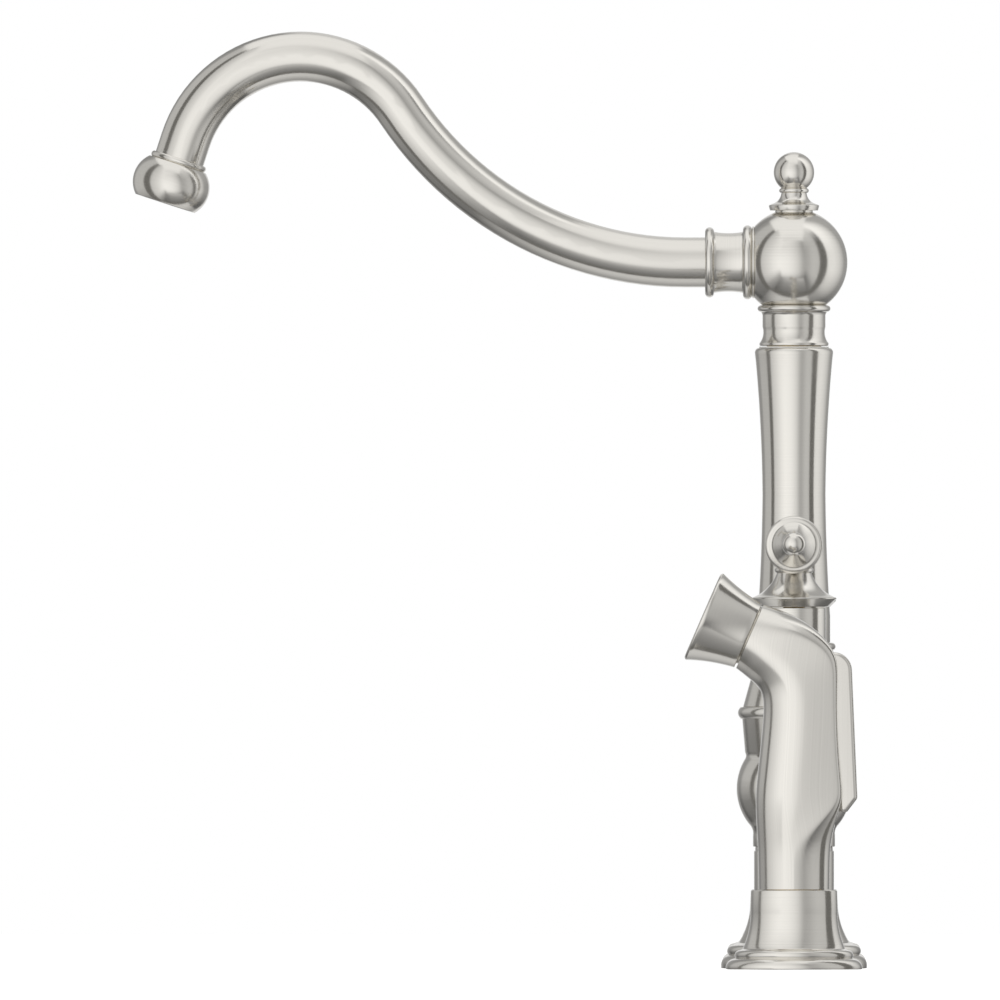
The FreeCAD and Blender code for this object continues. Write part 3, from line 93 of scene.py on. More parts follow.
def pick(piece, kind, test):
    """In edit mode, selects only what passes the test, and says how many there are."""
    bpy.ops.mesh.select_mode(type=SELECT_MODES[kind])
    bpy.ops.mesh.select_all(action="DESELECT")
    mesh = bmesh.from_edit_mesh(piece.data)
    found = [thing for thing in getattr(mesh, kind) if test(thing)]
    for thing in found:
        thing.select_set(True)
    bmesh.update_edit_mesh(piece.data)
    return len(found)


def close_edit():
    bpy.ops.object.mode_set(mode="OBJECT")


def place_applied(piece):
    """Puts a piece's place, turn and scale into its mesh."""
    only(piece)
    bpy.ops.object.transform_apply(location=True, rotation=True, scale=True)


# %% [markdown]
# Copies to work on
#
# A frame node is never changed. Its copy is: the copy's loose triangles are welded first, and the copy then
# stands for the node, on the same body and with the same finish.

# %% Copy a node
WELD = 0.002 * MM


def welded_copy(node):
    only(nodes[node])
    bpy.ops.object.duplicate()
    piece = bpy.context.object
    piece.name = node + "_finished"
    piece.parent = None
    for key in [key for key in piece.keys() if key.startswith("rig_")]:
        del piece[key]
    piece.data.materials.clear()
    edit(piece)
    bpy.ops.mesh.remove_doubles(threshold=WELD)
    close_edit()
    return piece


def stands_for(piece, node):
    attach(piece, body_of[node])
    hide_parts(node)
    return piece


def centre_of(node):
    low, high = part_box(node)
    return (low + high) / 2


def middle_of(node):
    """The middle of a node's surface, which lies on the axis of a turned piece."""
    faces = nodes[node].data.polygons
    area = sum(face.area for face in faces)
    return sum((face.center * face.area for face in faces), Vector()) / area


# %% [markdown]
# Turned pieces
#
# Nearly everything on this faucet comes off a lathe. A lathe needs only half an outline, so the copy is
# bisected twice, through its axis, until that outline is all that is left. Where the outline ends on the
# axis, its end is put exactly there, so that the spun tip closes. The corners are bevelled, because no real
# edge is perfectly sharp and the round is what catches the light, and the outline is spun back into a clean,
# evenly divided form.

# %% Find an outline
STRAIGHT = math.radians(0.4)
CORNER = math.radians(24)
OUTLINE_WELD = 0.02 * MM
AXIS_REACH = 0.05 * MM


def turn_at(vert):
    """How sharply an outline turns at a vertex, or nothing at its ends."""
    if len(vert.link_edges) != 2:
        return None
    ways = [(edge.other_vert(vert).co - vert.co) for edge in vert.link_edges]
    return math.pi - ways[0].angle(ways[1], math.pi)


def needless(vert):
    turn = turn_at(vert)
    return turn is not None and turn < STRAIGHT


def is_corner(vert, room):
    turn = turn_at(vert)
    if turn is None or turn < CORNER:
        return False
    return min(edge.calc_length() for edge in vert.link_edges) > room


def half_outline(piece, at, way, outward):
    """Leaves only half of a turned piece's outline, its ends on the axis, with no needless points."""
    edit(piece)
    bpy.ops.mesh.bisect(plane_co=at, plane_no=outward, clear_inner=True, threshold=WELD)
    bpy.ops.mesh.select_all(action="SELECT")
    bpy.ops.mesh.bisect(plane_co=at, plane_no=way.cross(outward), clear_inner=True, clear_outer=True,
                        threshold=WELD)
    bpy.ops.mesh.select_all(action="SELECT")
    bpy.ops.mesh.remove_doubles(threshold=OUTLINE_WELD)
    if pick(piece, "verts", lambda vert: (vert.co - at).dot(outward) < AXIS_REACH):
        bpy.ops.transform.resize(value=Vector((1, 1, 1)) - outward, center_override=at)
    while pick(piece, "verts", needless):
        bpy.ops.mesh.dissolve_verts()


# %% [markdown]
# Brushing follows the lathe
#
# A turned piece is brushed while it spins, so its fine marks run round the axis. Each point therefore keeps
# one number, how far along and out from the axis it lies, and the finish draws its marks from that number.

# %% Spin an outline again
SPIN_STEPS = 96
EDGE_STEPS = 3
EDGE_ROOM = 2.2
OUT_SHARE = 0.6
SMOOTH_LIMIT = math.radians(35)
CUT_SMOOTH_LIMIT = math.radians(18)
EDGE_ROUNDS = (0.35 * MM, 0.12 * MM)


def keep_brushing(piece, measure):
    layer = piece.data.attributes.new("brushing", "FLOAT", "POINT")
    layer.data.foreach_set("value", [measure(vert.co) for vert in piece.data.vertices])


def along_and_out(at, way):
    def measure(place):
        along = (place - at).dot(way)
        return along + OUT_SHARE * (place - at - way * along).length
    return measure


def smooth(piece, limit=SMOOTH_LIMIT):
    only(piece)
    bpy.ops.object.shade_smooth_by_angle(angle=limit)


def round_corners(piece):
    for radius in EDGE_ROUNDS:
        if pick(piece, "verts", lambda vert: is_corner(vert, EDGE_ROOM * radius)):
            bpy.ops.mesh.bevel(offset=radius, segments=EDGE_STEPS, affect="VERTICES")


def spun(node, at, way, outward, dressing=None):
    piece = welded_copy(node)
    half_outline(piece, at, way, outward)
    if dressing:
        dressing(piece, at, outward)
    round_corners(piece)
    bpy.ops.mesh.select_all(action="SELECT")
    points = len(bmesh.from_edit_mesh(piece.data).verts)
    bpy.ops.mesh.spin(steps=SPIN_STEPS, angle=math.tau, center=at, axis=way)
    bpy.ops.mesh.select_all(action="SELECT")
    bpy.ops.mesh.remove_doubles(threshold=WELD)
    bpy.ops.mesh.delete_loose()
    bpy.ops.mesh.select_all(action="SELECT")
    bpy.ops.mesh.normals_make_consistent(inside=False)
    close_edit()
    smooth(piece)
    stands_for(piece, node)
    print("spun", node, "from", points, "points")
    return piece


# %% [markdown]
# The upright pieces
#
# The legs, the column and the sprayer's holder all stand upright. Each stack has one axis, read from a node
# that is round about it, and every piece of the stack is spun about that axis.

# %% Spin the upright pieces
SIDES = ("left", "right")
STACK_AXES = {"left": centre_of("left_riser"), "right": centre_of("right_riser"),
              "spray": centre_of("spray_escutcheon")}
MIDDLE_AXIS = centre_of("column")
UPRIGHT = ["centre_hub", "hub_plug", "column_base", "column_lip", "column", "spout_neck", "spout_ball",
           "finial", "spray_escutcheon"]
LEG_PIECES = ("_escutcheon", "_riser", "_valve_body", "_bonnet", "_handle_hub")
UPRIGHT += [side + name for side in SIDES for name in LEG_PIECES]


def stack_axis(node):
    return STACK_AXES.get(node.split("_")[0], MIDDLE_AXIS)


pieces = {}
axes = {}
for node in UPRIGHT:
    pieces[node] = spun(node, stack_axis(node), ALONG_Z, ALONG_Y)
    axes[node] = (stack_axis(node), ALONG_Z)

# %% [markdown]
# The level and slanted pieces
#
# The bridge arms, their collars and the levers lie level. The nozzle and the spray head are turned pieces
# too, on slanted axes. Such an axis is the line through two nodes that share it.

# %% Spin the level pieces
LEVEL_PIECES = ("_bridge_arm", "_leg_collar", "_hub_collar", "_lever")
for node in [side + name for side in SIDES for name in LEVEL_PIECES]:
    pieces[node] = spun(node, centre_of(node), ALONG_X, ALONG_Z)
    axes[node] = (centre_of(node), ALONG_X)
pieces["spout_collar"] = spun("spout_collar", centre_of("spout_collar"), ALONG_Y, ALONG_Z)
axes["spout_collar"] = (centre_of("spout_collar"), ALONG_Y)

# %% Spin the slanted pieces
for node, partner in (("nozzle", "aerator_insert"), ("spray_head", "spray_face")):
    way = (middle_of(partner) - middle_of(node)).normalized()
    pieces[node] = spun(node, middle_of(node), way, ALONG_X)
    axes[node] = (middle_of(node), way)

# %% [markdown]
# The threaded shanks
#
# The shanks go through the deck, and their nuts run on a thread. On the outline a thread is a zigzag: the
# long outer edges are subdivided and every second point is pushed in. Spinning that gives grooves that read
# as a thread, in a closed mesh, and a real helix would be hard to close at its ends.

# %% Spin the shanks with their threads
THREAD_PITCH = 1.8 * MM
THREAD_DEPTH = 0.65 * MM
THREAD_ROOM = 12 * MM
THREAD_LEAST_RADIUS = 9 * MM


def cut_thread(piece, at, outward):
    """Turns the long outer edges of a half outline into zigzags."""
    def reach(vert):
        return (vert.co - at).dot(outward)

    def is_long_side(edge):
        tall = abs(edge.verts[0].co.z - edge.verts[1].co.z)
        return tall > THREAD_ROOM and min(map(reach, edge.verts)) > THREAD_LEAST_RADIUS

    def ends_of(edge):
        return {tuple(vert.co) for vert in edge.verts}

    mesh = bmesh.from_edit_mesh(piece.data)
    for ends in [ends_of(edge) for edge in mesh.edges if is_long_side(edge)]:
        low, high = sorted(end[2] for end in ends)
        turns = int((high - low) / THREAD_PITCH)
        pick(piece, "edges", lambda edge: ends_of(edge) == ends)
        bpy.ops.mesh.subdivide(number_cuts=2 * turns - 1)
        step = (high - low) / (2 * turns)
        radius = (Vector(min(ends)) - at).dot(outward)

        def in_groove(vert):
            count = (vert.co.z - low) / step
            on_side = abs(reach(vert) - radius) < WELD
            return on_side and low < vert.co.z < high and round(count) % 2 == 1
        grooves = pick(piece, "verts", in_groove)
        bpy.ops.transform.translate(value=-outward * THREAD_DEPTH)
        print("thread of", grooves, "grooves on", piece.name)


for side in SIDES:
    node = side + "_shank"
    pieces[node] = spun(node, stack_axis(node), ALONG_Z, ALONG_Y, cut_thread)
    axes[node] = (stack_axis(node), ALONG_Z)

# %% [markdown]
# Ports
#
# A spun ball has no holes in its side. The arms, the spout tube and the levers enter through ports, each a
# wide flat seat and a narrower socket. The cutter is a cylinder whose inner end is inset and extruded into
# the socket, and a Boolean modifier takes it out of the ball. A cut piece is smoothed only up to a smaller
# angle, so that the new rims stay crisp.

# %% Cut the ports
PORT_SIDES = 64
PORT_OUT = 30 * MM
SEAT_SLACK = 0.15 * MM
TUBE_SLACK = 0.05 * MM
TUBE_END_ROOM = 0.3 * MM
FACES_THAT_WAY = 0.9


def port_cutter(seat, way, wide, narrow, depth):
    turn = way.to_track_quat("Z", "Y").to_euler()
    bpy.ops.object.select_all(action="DESELECT")
    bpy.ops.mesh.primitive_cylinder_add(vertices=PORT_SIDES, radius=wide, depth=PORT_OUT,
                                        location=seat + way * (PORT_OUT / 2), rotation=turn)
    cutter = bpy.context.object
    place_applied(cutter)
    edit(cutter)
    pick(cutter, "faces", lambda face: face.normal.dot(way) < -FACES_THAT_WAY)
    bpy.ops.mesh.inset(thickness=wide - narrow)
    bpy.ops.mesh.extrude_region_move(TRANSFORM_OT_translate={"value": -way * depth})
    close_edit()
    return cutter


def cut_away(piece, cutter):
    """Takes a cutter out of a piece and deletes the cutter."""
    only(piece)
    cut = piece.modifiers.new("cut", "BOOLEAN")
    cut.operation = "DIFFERENCE"
    cut.object = cutter
    before = len(piece.data.polygons)
    bpy.ops.object.modifier_apply(modifier=cut.name)
    only(cutter)
    bpy.ops.object.delete()
    smooth(piece, CUT_SMOOTH_LIMIT)
    print("cut", piece.name, "faces", before, "to", len(piece.data.polygons))


def cut_port(node, seat, way, wide, narrow, depth):
    cut_away(pieces[node], port_cutter(seat, way, wide, narrow, depth))


def collar_port(node, collar, tube, way):
    """Cuts the seat of a collar and the socket of its tube, both read from their boxes."""
    collar_low, collar_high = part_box(collar)
    seat_along = min(collar_low.dot(way), collar_high.dot(way))
    seat = centre_of(collar) + way * (seat_along - centre_of(collar).dot(way))
    wide = max(collar_high - collar_low) / 2 + SEAT_SLACK
    arm_low, arm_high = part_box(tube)
    arm_end = min(arm_low.dot(way), arm_high.dot(way))
    narrow = min(arm_high - arm_low) / 2 + TUBE_SLACK
    cut_port(node, seat, way, wide, narrow, seat_along - arm_end + TUBE_END_ROOM)


for side, way in (("left", ALONG_X), ("right", -ALONG_X)):
    collar_port(side + "_valve_body", side + "_leg_collar", side + "_bridge_arm", way)
    collar_port("centre_hub", side + "_hub_collar", side + "_bridge_arm", -way)
collar_port("spout_ball", "spout_collar", "spout_tube", -ALONG_Y)

# %% [markdown]
# The lever's seat
#
# The lever screws into the ball of its hub against a small flat. The ball's radius is the hub's height above
# the lever's axis, and the flat stands a little inside it.

# %% Cut the lever seats
LEVER_SEAT = 6.6 * MM
LEVER_TENON = 3.55 * MM
LEVER_TENON_DEPTH = 5 * MM
for side, way in (("left", -ALONG_X), ("right", ALONG_X)):
    node = side + "_handle_hub"
    level = centre_of(side + "_lever").z
    ball_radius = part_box(node)[1].z - level
    flat_radius = math.sqrt(ball_radius ** 2 - LEVER_SEAT ** 2)
    ball_centre = Vector((stack_axis(node).x, stack_axis(node).y, level))
    cut_port(node, ball_centre + way * LEVER_SEAT, way, flat_radius, LEVER_TENON, LEVER_TENON_DEPTH)

# %% [markdown]
# The sprayer's grip
#
# The grip is a casting that fits the palm: a round foot, a round front, a flat back for the thumb lever, and
# a bend forward to the round head. It could be sculpted, but rings keep it exact. Each ring is a square with
# bevelled corners, wide at the front and tight at the back. The rings are bridged, and a Subdivision Surface
# modifier makes one smooth skin of them.

# %% Place the rings
GRIP_FOOT = Vector((STACK_AXES["spray"].x, STACK_AXES["spray"].y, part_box("spray_grip")[0].z))
FRONT_STEPS = 14
BACK_STEPS = 6
GRIP_RINGS = [
    # height, middle, tilt, then reach to the front and back, half width there, and corners there
    (0.0, 0.0, 0, 12.95, 12.95, 12.95, 12.95, 12.9, 12.9),
    (4.0, 0.0, 0, 12.98, 12.98, 12.98, 12.98, 12.9, 12.9),
    (13.7, 0.0, 0, 13.15, 13.1, 13.1, 13.1, 13.0, 13.0),
    (19.0, 0.0, 0, 13.4, 13.8, 13.7, 13.4, 13.3, 10.5),
    (25.0, 0.0, 0, 13.8, 15.3, 15.2, 13.2, 14.8, 6.0),
    (32.2, 0.0, 0, 14.1, 17.7, 17.0, 12.9, 16.8, 1.6),
    (38.0, 0.0, 0, 13.8, 17.3, 17.1, 12.9, 16.9, 1.3),
    (48.7, 0.0, 0, 12.6, 16.3, 16.9, 12.8, 16.7, 1.3),
    (63.7, 0.0, 0, 11.0, 15.6, 16.3, 12.5, 16.1, 1.3),
    (73.5, 2.4, 14, 14.0, 13.9, 16.2, 12.4, 16.0, 1.6),
    (79.5, 1.7, 24, 15.4, 15.7, 16.0, 12.3, 15.8, 2.5),
    (84.6, -2.4, 35, 15.2, 15.3, 15.4, 12.4, 15.2, 5.0),
    (88.4, -7.0, 45.6, 14.8, 14.4, 14.6, 12.8, 14.4, 8.5),
    (90.8, -11.8, 57, 13.6, 13.5, 13.4, 13.0, 13.2, 11.5),
    (92.5, -16.1, 66.4, 12.7, 12.7, 12.7, 12.7, 12.6, 12.6),
]


def grip_ring(height, middle, tilt, front, back, front_half, back_half, front_corner, back_corner):
    bpy.ops.object.select_all(action="DESELECT")
    bpy.ops.mesh.primitive_plane_add(size=2 * MM)
    ring = bpy.context.object
    edit(ring)
    bpy.ops.transform.resize(value=(front_half, (front + back) / 2, 1), center_override=(0, 0, 0))
    bpy.ops.transform.translate(value=(0, (back - front) / 2 * MM, 0))
    pick(ring, "verts", lambda vert: vert.co.y > 0)
    bpy.ops.transform.resize(value=(back_half / front_half, 1, 1), center_override=(0, 0, 0))
    bpy.ops.mesh.bevel(offset=back_corner * MM, segments=BACK_STEPS, affect="VERTICES")
    pick(ring, "verts", lambda vert: vert.co.y < (WELD - front * MM))
    bpy.ops.mesh.bevel(offset=front_corner * MM, segments=FRONT_STEPS, affect="VERTICES")
    bpy.ops.mesh.select_all(action="SELECT")
    bpy.ops.mesh.delete(type="ONLY_FACE")
    close_edit()
    ring.rotation_euler = (math.radians(tilt), 0, 0)
    ring.location = GRIP_FOOT + Vector((0, middle, height)) * MM
    place_applied(ring)
    return ring


rings = [grip_ring(*sizes) for sizes in GRIP_RINGS]
print("rings of", {len(ring.data.vertices) for ring in rings}, "points")

# %% Bridge and smooth the rings
only(rings[0])
for ring in rings:
    ring.select_set(True)
bpy.ops.object.join()
grip = bpy.context.object
grip.name = "spray_grip_finished"
edit(grip)
bpy.ops.mesh.bridge_edge_loops(type="SINGLE")
close_edit()
skin = grip.modifiers.new("skin", "SUBSURF")
skin.levels = 2
bpy.ops.object.modifier_apply(modifier=skin.name)
edit(grip)
pick(grip, "edges", lambda edge: edge.is_boundary)
bpy.ops.mesh.edge_face_add()
bpy.ops.mesh.select_all(action="SELECT")
bpy.ops.mesh.normals_make_consistent(inside=False)
close_edit()
pieces["spray_grip"] = stands_for(grip, "spray_grip")
print("grip of", len(grip.data.polygons), "faces")

# %% [markdown]
# Room in the grip
#
# The lever sinks into a slot at the back and turns on a pin, and the plunger that it presses slides in a
# hole. The hose connector and the head sit in sockets at the two ends. Places are given as how far back of
# the foot's middle they lie, and how high, in millimetres.

# %% Cut the slot, the holes and the sockets
SLOT_HALF = 7.8
SLOT_FOOT = (11.8, 23.7)
SLOT_TOP_IN = (9.0, 90.1)
SLOT_OUT = 30
PIN_AT, PIN_RADIUS, PIN_LENGTH = (12, 83.3), 1.3, 20.7
PLUNGER_AT, PLUNGER_RADIUS, PLUNGER_LENGTH = (7.75, 70.7), 2.55, 12.5
HOSE_AT, HOSE_RADIUS, HOSE_LENGTH = (0, 5), 9.05, 12
HEAD_AT, HEAD_RADIUS, HEAD_LENGTH = (-16.1, 92.5), 8.05, 12.2


def in_grip(back, height):
    return GRIP_FOOT + Vector((0, back, height)) * MM


def rod(middle, way, radius, length):
    bpy.ops.object.select_all(action="DESELECT")
    bpy.ops.mesh.primitive_cylinder_add(vertices=PORT_SIDES, radius=radius * MM, depth=length * MM,
                                        location=in_grip(*middle),
                                        rotation=way.to_track_quat("Z", "Y").to_euler())
    return bpy.context.object


def slot_cutter():
    low, high = in_grip(*SLOT_FOOT), in_grip(SLOT_OUT, SLOT_TOP_IN[1])
    bpy.ops.object.select_all(action="DESELECT")
    bpy.ops.mesh.primitive_cube_add(size=1, location=(low + high) / 2,
                                    scale=(2 * SLOT_HALF * MM, high.y - low.y, high.z - low.z))
    slot = bpy.context.object
    place_applied(slot)
    edit(slot)
    pick(slot, "verts", lambda vert: vert.co.y < low.y + WELD and vert.co.z > high.z - WELD)
    bpy.ops.transform.translate(value=in_grip(*SLOT_TOP_IN) - in_grip(SLOT_FOOT[0], SLOT_TOP_IN[1]))
    close_edit()
    return slot


cut_away(grip, slot_cutter())
cut_away(grip, rod(PIN_AT, ALONG_X, PIN_RADIUS, PIN_LENGTH))
cut_away(grip, rod(PLUNGER_AT, ALONG_Y, PLUNGER_RADIUS, PLUNGER_LENGTH))
cut_away(grip, rod(HOSE_AT, ALONG_Z, HOSE_RADIUS, HOSE_LENGTH))
cut_away(grip, rod(HEAD_AT, axes["spray_head"][1], HEAD_RADIUS, HEAD_LENGTH))

# %% [markdown]
# The tube and the thumb lever
#
# The bent tube and the lever keep the form that the frame gives them, with smooth shading up to an angle
# that leaves the real edges crisp. Their brushing and the grip's run lengthwise, so its number stays the
# same along each of them.

# %% Smooth the tube and the lever
LENGTHWISE = {
    "spout_tube": lambda place: place.x,
    "spray_grip": lambda place: place.x + OUT_SHARE * place.y,
    "spray_trigger": lambda place: place.x + OUT_SHARE * place.y,
}
for node in ("spout_tube", "spray_trigger"):
    piece = welded_copy(node)
    smooth(piece)
    pieces[node] = stands_for(piece, node)
    print("smoothed", node, "with", len(piece.data.polygons), "faces")
for node, measure in LENGTHWISE.items():
    keep_brushing(pieces[node], measure)

# %% Keep the brushing of the turned pieces
for node, (at, way) in axes.items():
    keep_brushing(pieces[node], along_and_out(at, way))
print("brushing kept on", len(axes) + len(LENGTHWISE), "pieces")

# %% [markdown]
# Spray nubs
#
# The jets of a spray face end in soft rubber nubs that a thumb can rub clean of lime. One nub is a short
# cylinder: its open end is inset and pushed in for the jet, and its edges are bevelled. It is copied round
# two rings and the copies are joined into one piece.

# %% Model one nub and copy it
NUB_RADIUS = 1.35 * MM
NUB_HEIGHT = 0.8 * MM
NUB_MOUTH = 0.65 * MM
NUB_DEPTH = 0.6 * MM
NUB_EDGE = 0.2 * MM
NUB_SIDES = 20
SHARP = 1
NUB_RINGS = ((10.6 * MM, 12), (5.6 * MM, 6))

head_at, spray_way = axes["spray_head"]
face_points = [vert.co for vert in nodes["spray_face"].data.vertices]
face_front = max(point.dot(spray_way) for point in face_points)
face_middle = head_at + spray_way * (face_front - head_at.dot(spray_way))
face_up = spray_way.cross(ALONG_X)


def make_nub():
    bpy.ops.object.select_all(action="DESELECT")
    bpy.ops.mesh.primitive_cylinder_add(vertices=NUB_SIDES, radius=NUB_RADIUS, depth=NUB_HEIGHT,
                                        location=spray_way * (NUB_HEIGHT / 2),
                                        rotation=spray_way.to_track_quat("Z", "Y").to_euler())
    nub = bpy.context.object
    place_applied(nub)
    edit(nub)
    pick(nub, "faces", lambda face: face.normal.dot(spray_way) > FACES_THAT_WAY)
    bpy.ops.mesh.inset(thickness=NUB_RADIUS - NUB_MOUTH)
    bpy.ops.mesh.extrude_region_move(TRANSFORM_OT_translate={"value": -spray_way * NUB_DEPTH})
    pick(nub, "edges", lambda edge: edge.calc_face_angle(0) > SHARP
         and all(vert.co.dot(spray_way) > 0.9 * NUB_HEIGHT for vert in edge.verts))
    bpy.ops.mesh.bevel(offset=NUB_EDGE, segments=2)
    close_edit()
    return nub


first_nub = make_nub()
spots = [face_middle + (ALONG_X * math.cos(turn) + face_up * math.sin(turn)) * radius
         for radius, count in NUB_RINGS for turn in [math.tau * step / count for step in range(count)]]
nubs = []
for spot in spots:
    only(first_nub)
    bpy.ops.object.duplicate()
    bpy.context.object.location = spot
    place_applied(bpy.context.object)
    nubs.append(bpy.context.object)
only(first_nub)
bpy.ops.object.delete()
only(nubs[0])
for nub in nubs:
    nub.select_set(True)
bpy.ops.object.join()
spray_nubs = bpy.context.object
spray_nubs.name = "spray_nubs"
smooth(spray_nubs)
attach(spray_nubs, body_of["spray_face"])
print("nubs:", len(spots))

# %% [markdown]
# The stream former
#
# Inside the nozzle a fine grid makes the water run smoothly. A grid of small squares is added, the squares
# outside the rim are deleted, and a Wireframe modifier turns the rest into crossing bars.

# %% Model the grid
GRID_RADIUS = 8.4 * MM
GRID_CELLS = 13
GRID_BAR = 0.45 * MM
GRID_DEPTH = 0.4 * MM

nozzle_at, stream_way = axes["nozzle"]
former_points = [vert.co for vert in nodes["aerator_insert"].data.vertices]
former_front = max(point.dot(stream_way) for point in former_points)
grid_level = former_front - GRID_DEPTH
bpy.ops.object.select_all(action="DESELECT")
bpy.ops.mesh.primitive_grid_add(x_subdivisions=GRID_CELLS, y_subdivisions=GRID_CELLS, size=2 * GRID_RADIUS,
                                location=nozzle_at + stream_way * (grid_level - nozzle_at.dot(stream_way)),
                                rotation=stream_way.to_track_quat("Z", "Y").to_euler())
stream_grid = bpy.context.object
stream_grid.name = "stream_grid"
place_applied(stream_grid)
grid_middle = sum((vert.co for vert in stream_grid.data.vertices), Vector()) / len(stream_grid.data.vertices)
edit(stream_grid)
pick(stream_grid, "faces", lambda face: (face.calc_center_median() - grid_middle).length > GRID_RADIUS)
bpy.ops.mesh.delete(type="FACE")
close_edit()
only(stream_grid)
bars = stream_grid.modifiers.new("bars", "WIREFRAME")
bars.thickness = GRID_BAR
bpy.ops.object.modifier_apply(modifier=bars.name)
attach(stream_grid, body_of["aerator_insert"])
print("grid faces:", len(stream_grid.data.polygons))

# %% [markdown]
# Shader groups
#
# Three effects come back in several finishes, so each is a node group with named sockets, built once. Brush
# marks are fine lines across one number. Handling is a soft patchiness of the gloss. Speckle is the tiny
# unevenness of moulded and rolled surfaces.

# %% Build a group
def new_group(name, inputs, output):
    group = bpy.data.node_groups.new(name, "ShaderNodeTree")
    for label, kind, default in inputs:
        socket = group.interface.new_socket(label, in_out="INPUT", socket_type=kind)
        if default is not None:
            socket.default_value = default
    group.interface.new_socket(output, in_out="OUTPUT", socket_type="NodeSocketFloat")
    return group, group.nodes.new("NodeGroupInput").outputs, group.nodes.new("NodeGroupOutput").inputs[0]


def maths(tree, operation, *values):
    node = tree.nodes.new("ShaderNodeMath")
    node.operation = operation
    for socket, value in zip(node.inputs, values):
        if isinstance(value, (int, float)):
            socket.default_value = value
        else:
            tree.links.new(value, socket)
    return node.outputs[0]


def noise(tree, place, scale, detail, dimensions="3D"):
    node = tree.nodes.new("ShaderNodeTexNoise")
    node.noise_dimensions = dimensions
    tree.links.new(place, node.inputs["W" if dimensions == "1D" else "Vector"])
    if isinstance(scale, (int, float)):
        node.inputs["Scale"].default_value = scale
    else:
        tree.links.new(scale, node.inputs["Scale"])
    node.inputs["Detail"].default_value = detail
    return node.outputs["Fac"]


# %% Brush marks
brush_marks, given, result = new_group("brush_marks", [
    ("Across", "NodeSocketFloat", 0.0), ("Place", "NodeSocketVector", None),
    ("Lines per Metre", "NodeSocketFloat", 2500.0)], "Mark")
fine_lines = noise(brush_marks, given["Across"], given["Lines per Metre"], 2.0, "1D")
fading = noise(brush_marks, given["Place"], 70.0, 2.0)
from_middle = maths(brush_marks, "SUBTRACT", fine_lines, 0.5)
faded = maths(brush_marks, "MULTIPLY", from_middle, maths(brush_marks, "MULTIPLY", fading, 2.0))
brush_marks.links.new(maths(brush_marks, "ADD", faded, 0.5), result)
print("group", brush_marks.name)

# %% Handling
handling, given, result = new_group("handling", [
    ("Place", "NodeSocketVector", None), ("Patches per Metre", "NodeSocketFloat", 35.0)], "Patch")
soft_patches = noise(handling, given["Place"], given["Patches per Metre"], 3.0)
spread = handling.nodes.new("ShaderNodeMapRange")
spread.interpolation_type = "SMOOTHSTEP"
spread.inputs["From Min"].default_value = 0.35
spread.inputs["From Max"].default_value = 0.7
handling.links.new(soft_patches, spread.inputs["Value"])
handling.links.new(spread.outputs["Result"], result)
print("group", handling.name)

# %% Speckle
speckle, given, result = new_group("speckle", [
    ("Place", "NodeSocketVector", None), ("Grains per Metre", "NodeSocketFloat", 1500.0)], "Grain")
grains = speckle.nodes.new("ShaderNodeTexVoronoi")
speckle.links.new(given["Place"], grains.inputs["Vector"])
speckle.links.new(given["Grains per Metre"], grains.inputs["Scale"])
rough_grains = noise(speckle, given["Place"], 900.0, 3.0)
speckle.links.new(maths(speckle, "MULTIPLY_ADD", grains.outputs["Distance"], 0.6,
                        maths(speckle, "MULTIPLY", rough_grains, 0.4)), result)
print("group", speckle.name)


# %% [markdown]
# Finishes
#
# A finish is one Principled shader. What stays the same all over is set on its own sockets, and the groups
# only steer what varies: the colour between two close shades, the roughness between two values, and the
# height of a bump.

# %% Start a finish
def new_finish(name, metallic):
    material = bpy.data.materials.new(name)
    material.use_nodes = True
    tree = material.node_tree
    shader = tree.nodes["Principled BSDF"]
    shader.inputs["Metallic"].default_value = metallic
    place = tree.nodes.new("ShaderNodeTexCoord").outputs["Object"]
    return material, tree, shader, place


def use_group(tree, group, **links):
    node = tree.nodes.new("ShaderNodeGroup")
    node.node_tree = group
    for name, value in links.items():
        socket = node.inputs[name.replace("_", " ")]
        if isinstance(value, (int, float)):
            socket.default_value = value
        else:
            tree.links.new(value, socket)
    return node.outputs[0]


def shade_by(tree, shader, mask, dark, light):
    ramp = tree.nodes.new("ShaderNodeValToRGB")
    ramp.color_ramp.elements[0].color = (*dark, 1)
    ramp.color_ramp.elements[1].color = (*light, 1)
    tree.links.new(mask, ramp.inputs[0])
    tree.links.new(ramp.outputs[0], shader.inputs["Base Color"])


def gloss_by(tree, shader, mask, low, high):
    spread = tree.nodes.new("ShaderNodeMapRange")
    spread.inputs["To Min"].default_value = low
    spread.inputs["To Max"].default_value = high
    tree.links.new(mask, spread.inputs["Value"])
    tree.links.new(spread.outputs["Result"], shader.inputs["Roughness"])


def bump_by(tree, shader, mask, strength, distance):
    bump = tree.nodes.new("ShaderNodeBump")
    bump.inputs["Strength"].default_value = strength
    bump.inputs["Distance"].default_value = distance
    tree.links.new(mask, bump.inputs["Height"])
    tree.links.new(bump.outputs["Normal"], shader.inputs["Normal"])


def mean_of(tree, first, second):
    return maths(tree, "MULTIPLY", maths(tree, "ADD", first, second), 0.5)


# %% [markdown]
# Brushed nickel
#
# Nickel is a warm, slightly pink grey. The brushing is so fine that from a metre away it only softens the
# reflections, and close up it shows as lines round each turned piece. Fingers leave the gloss a little
# patchy.

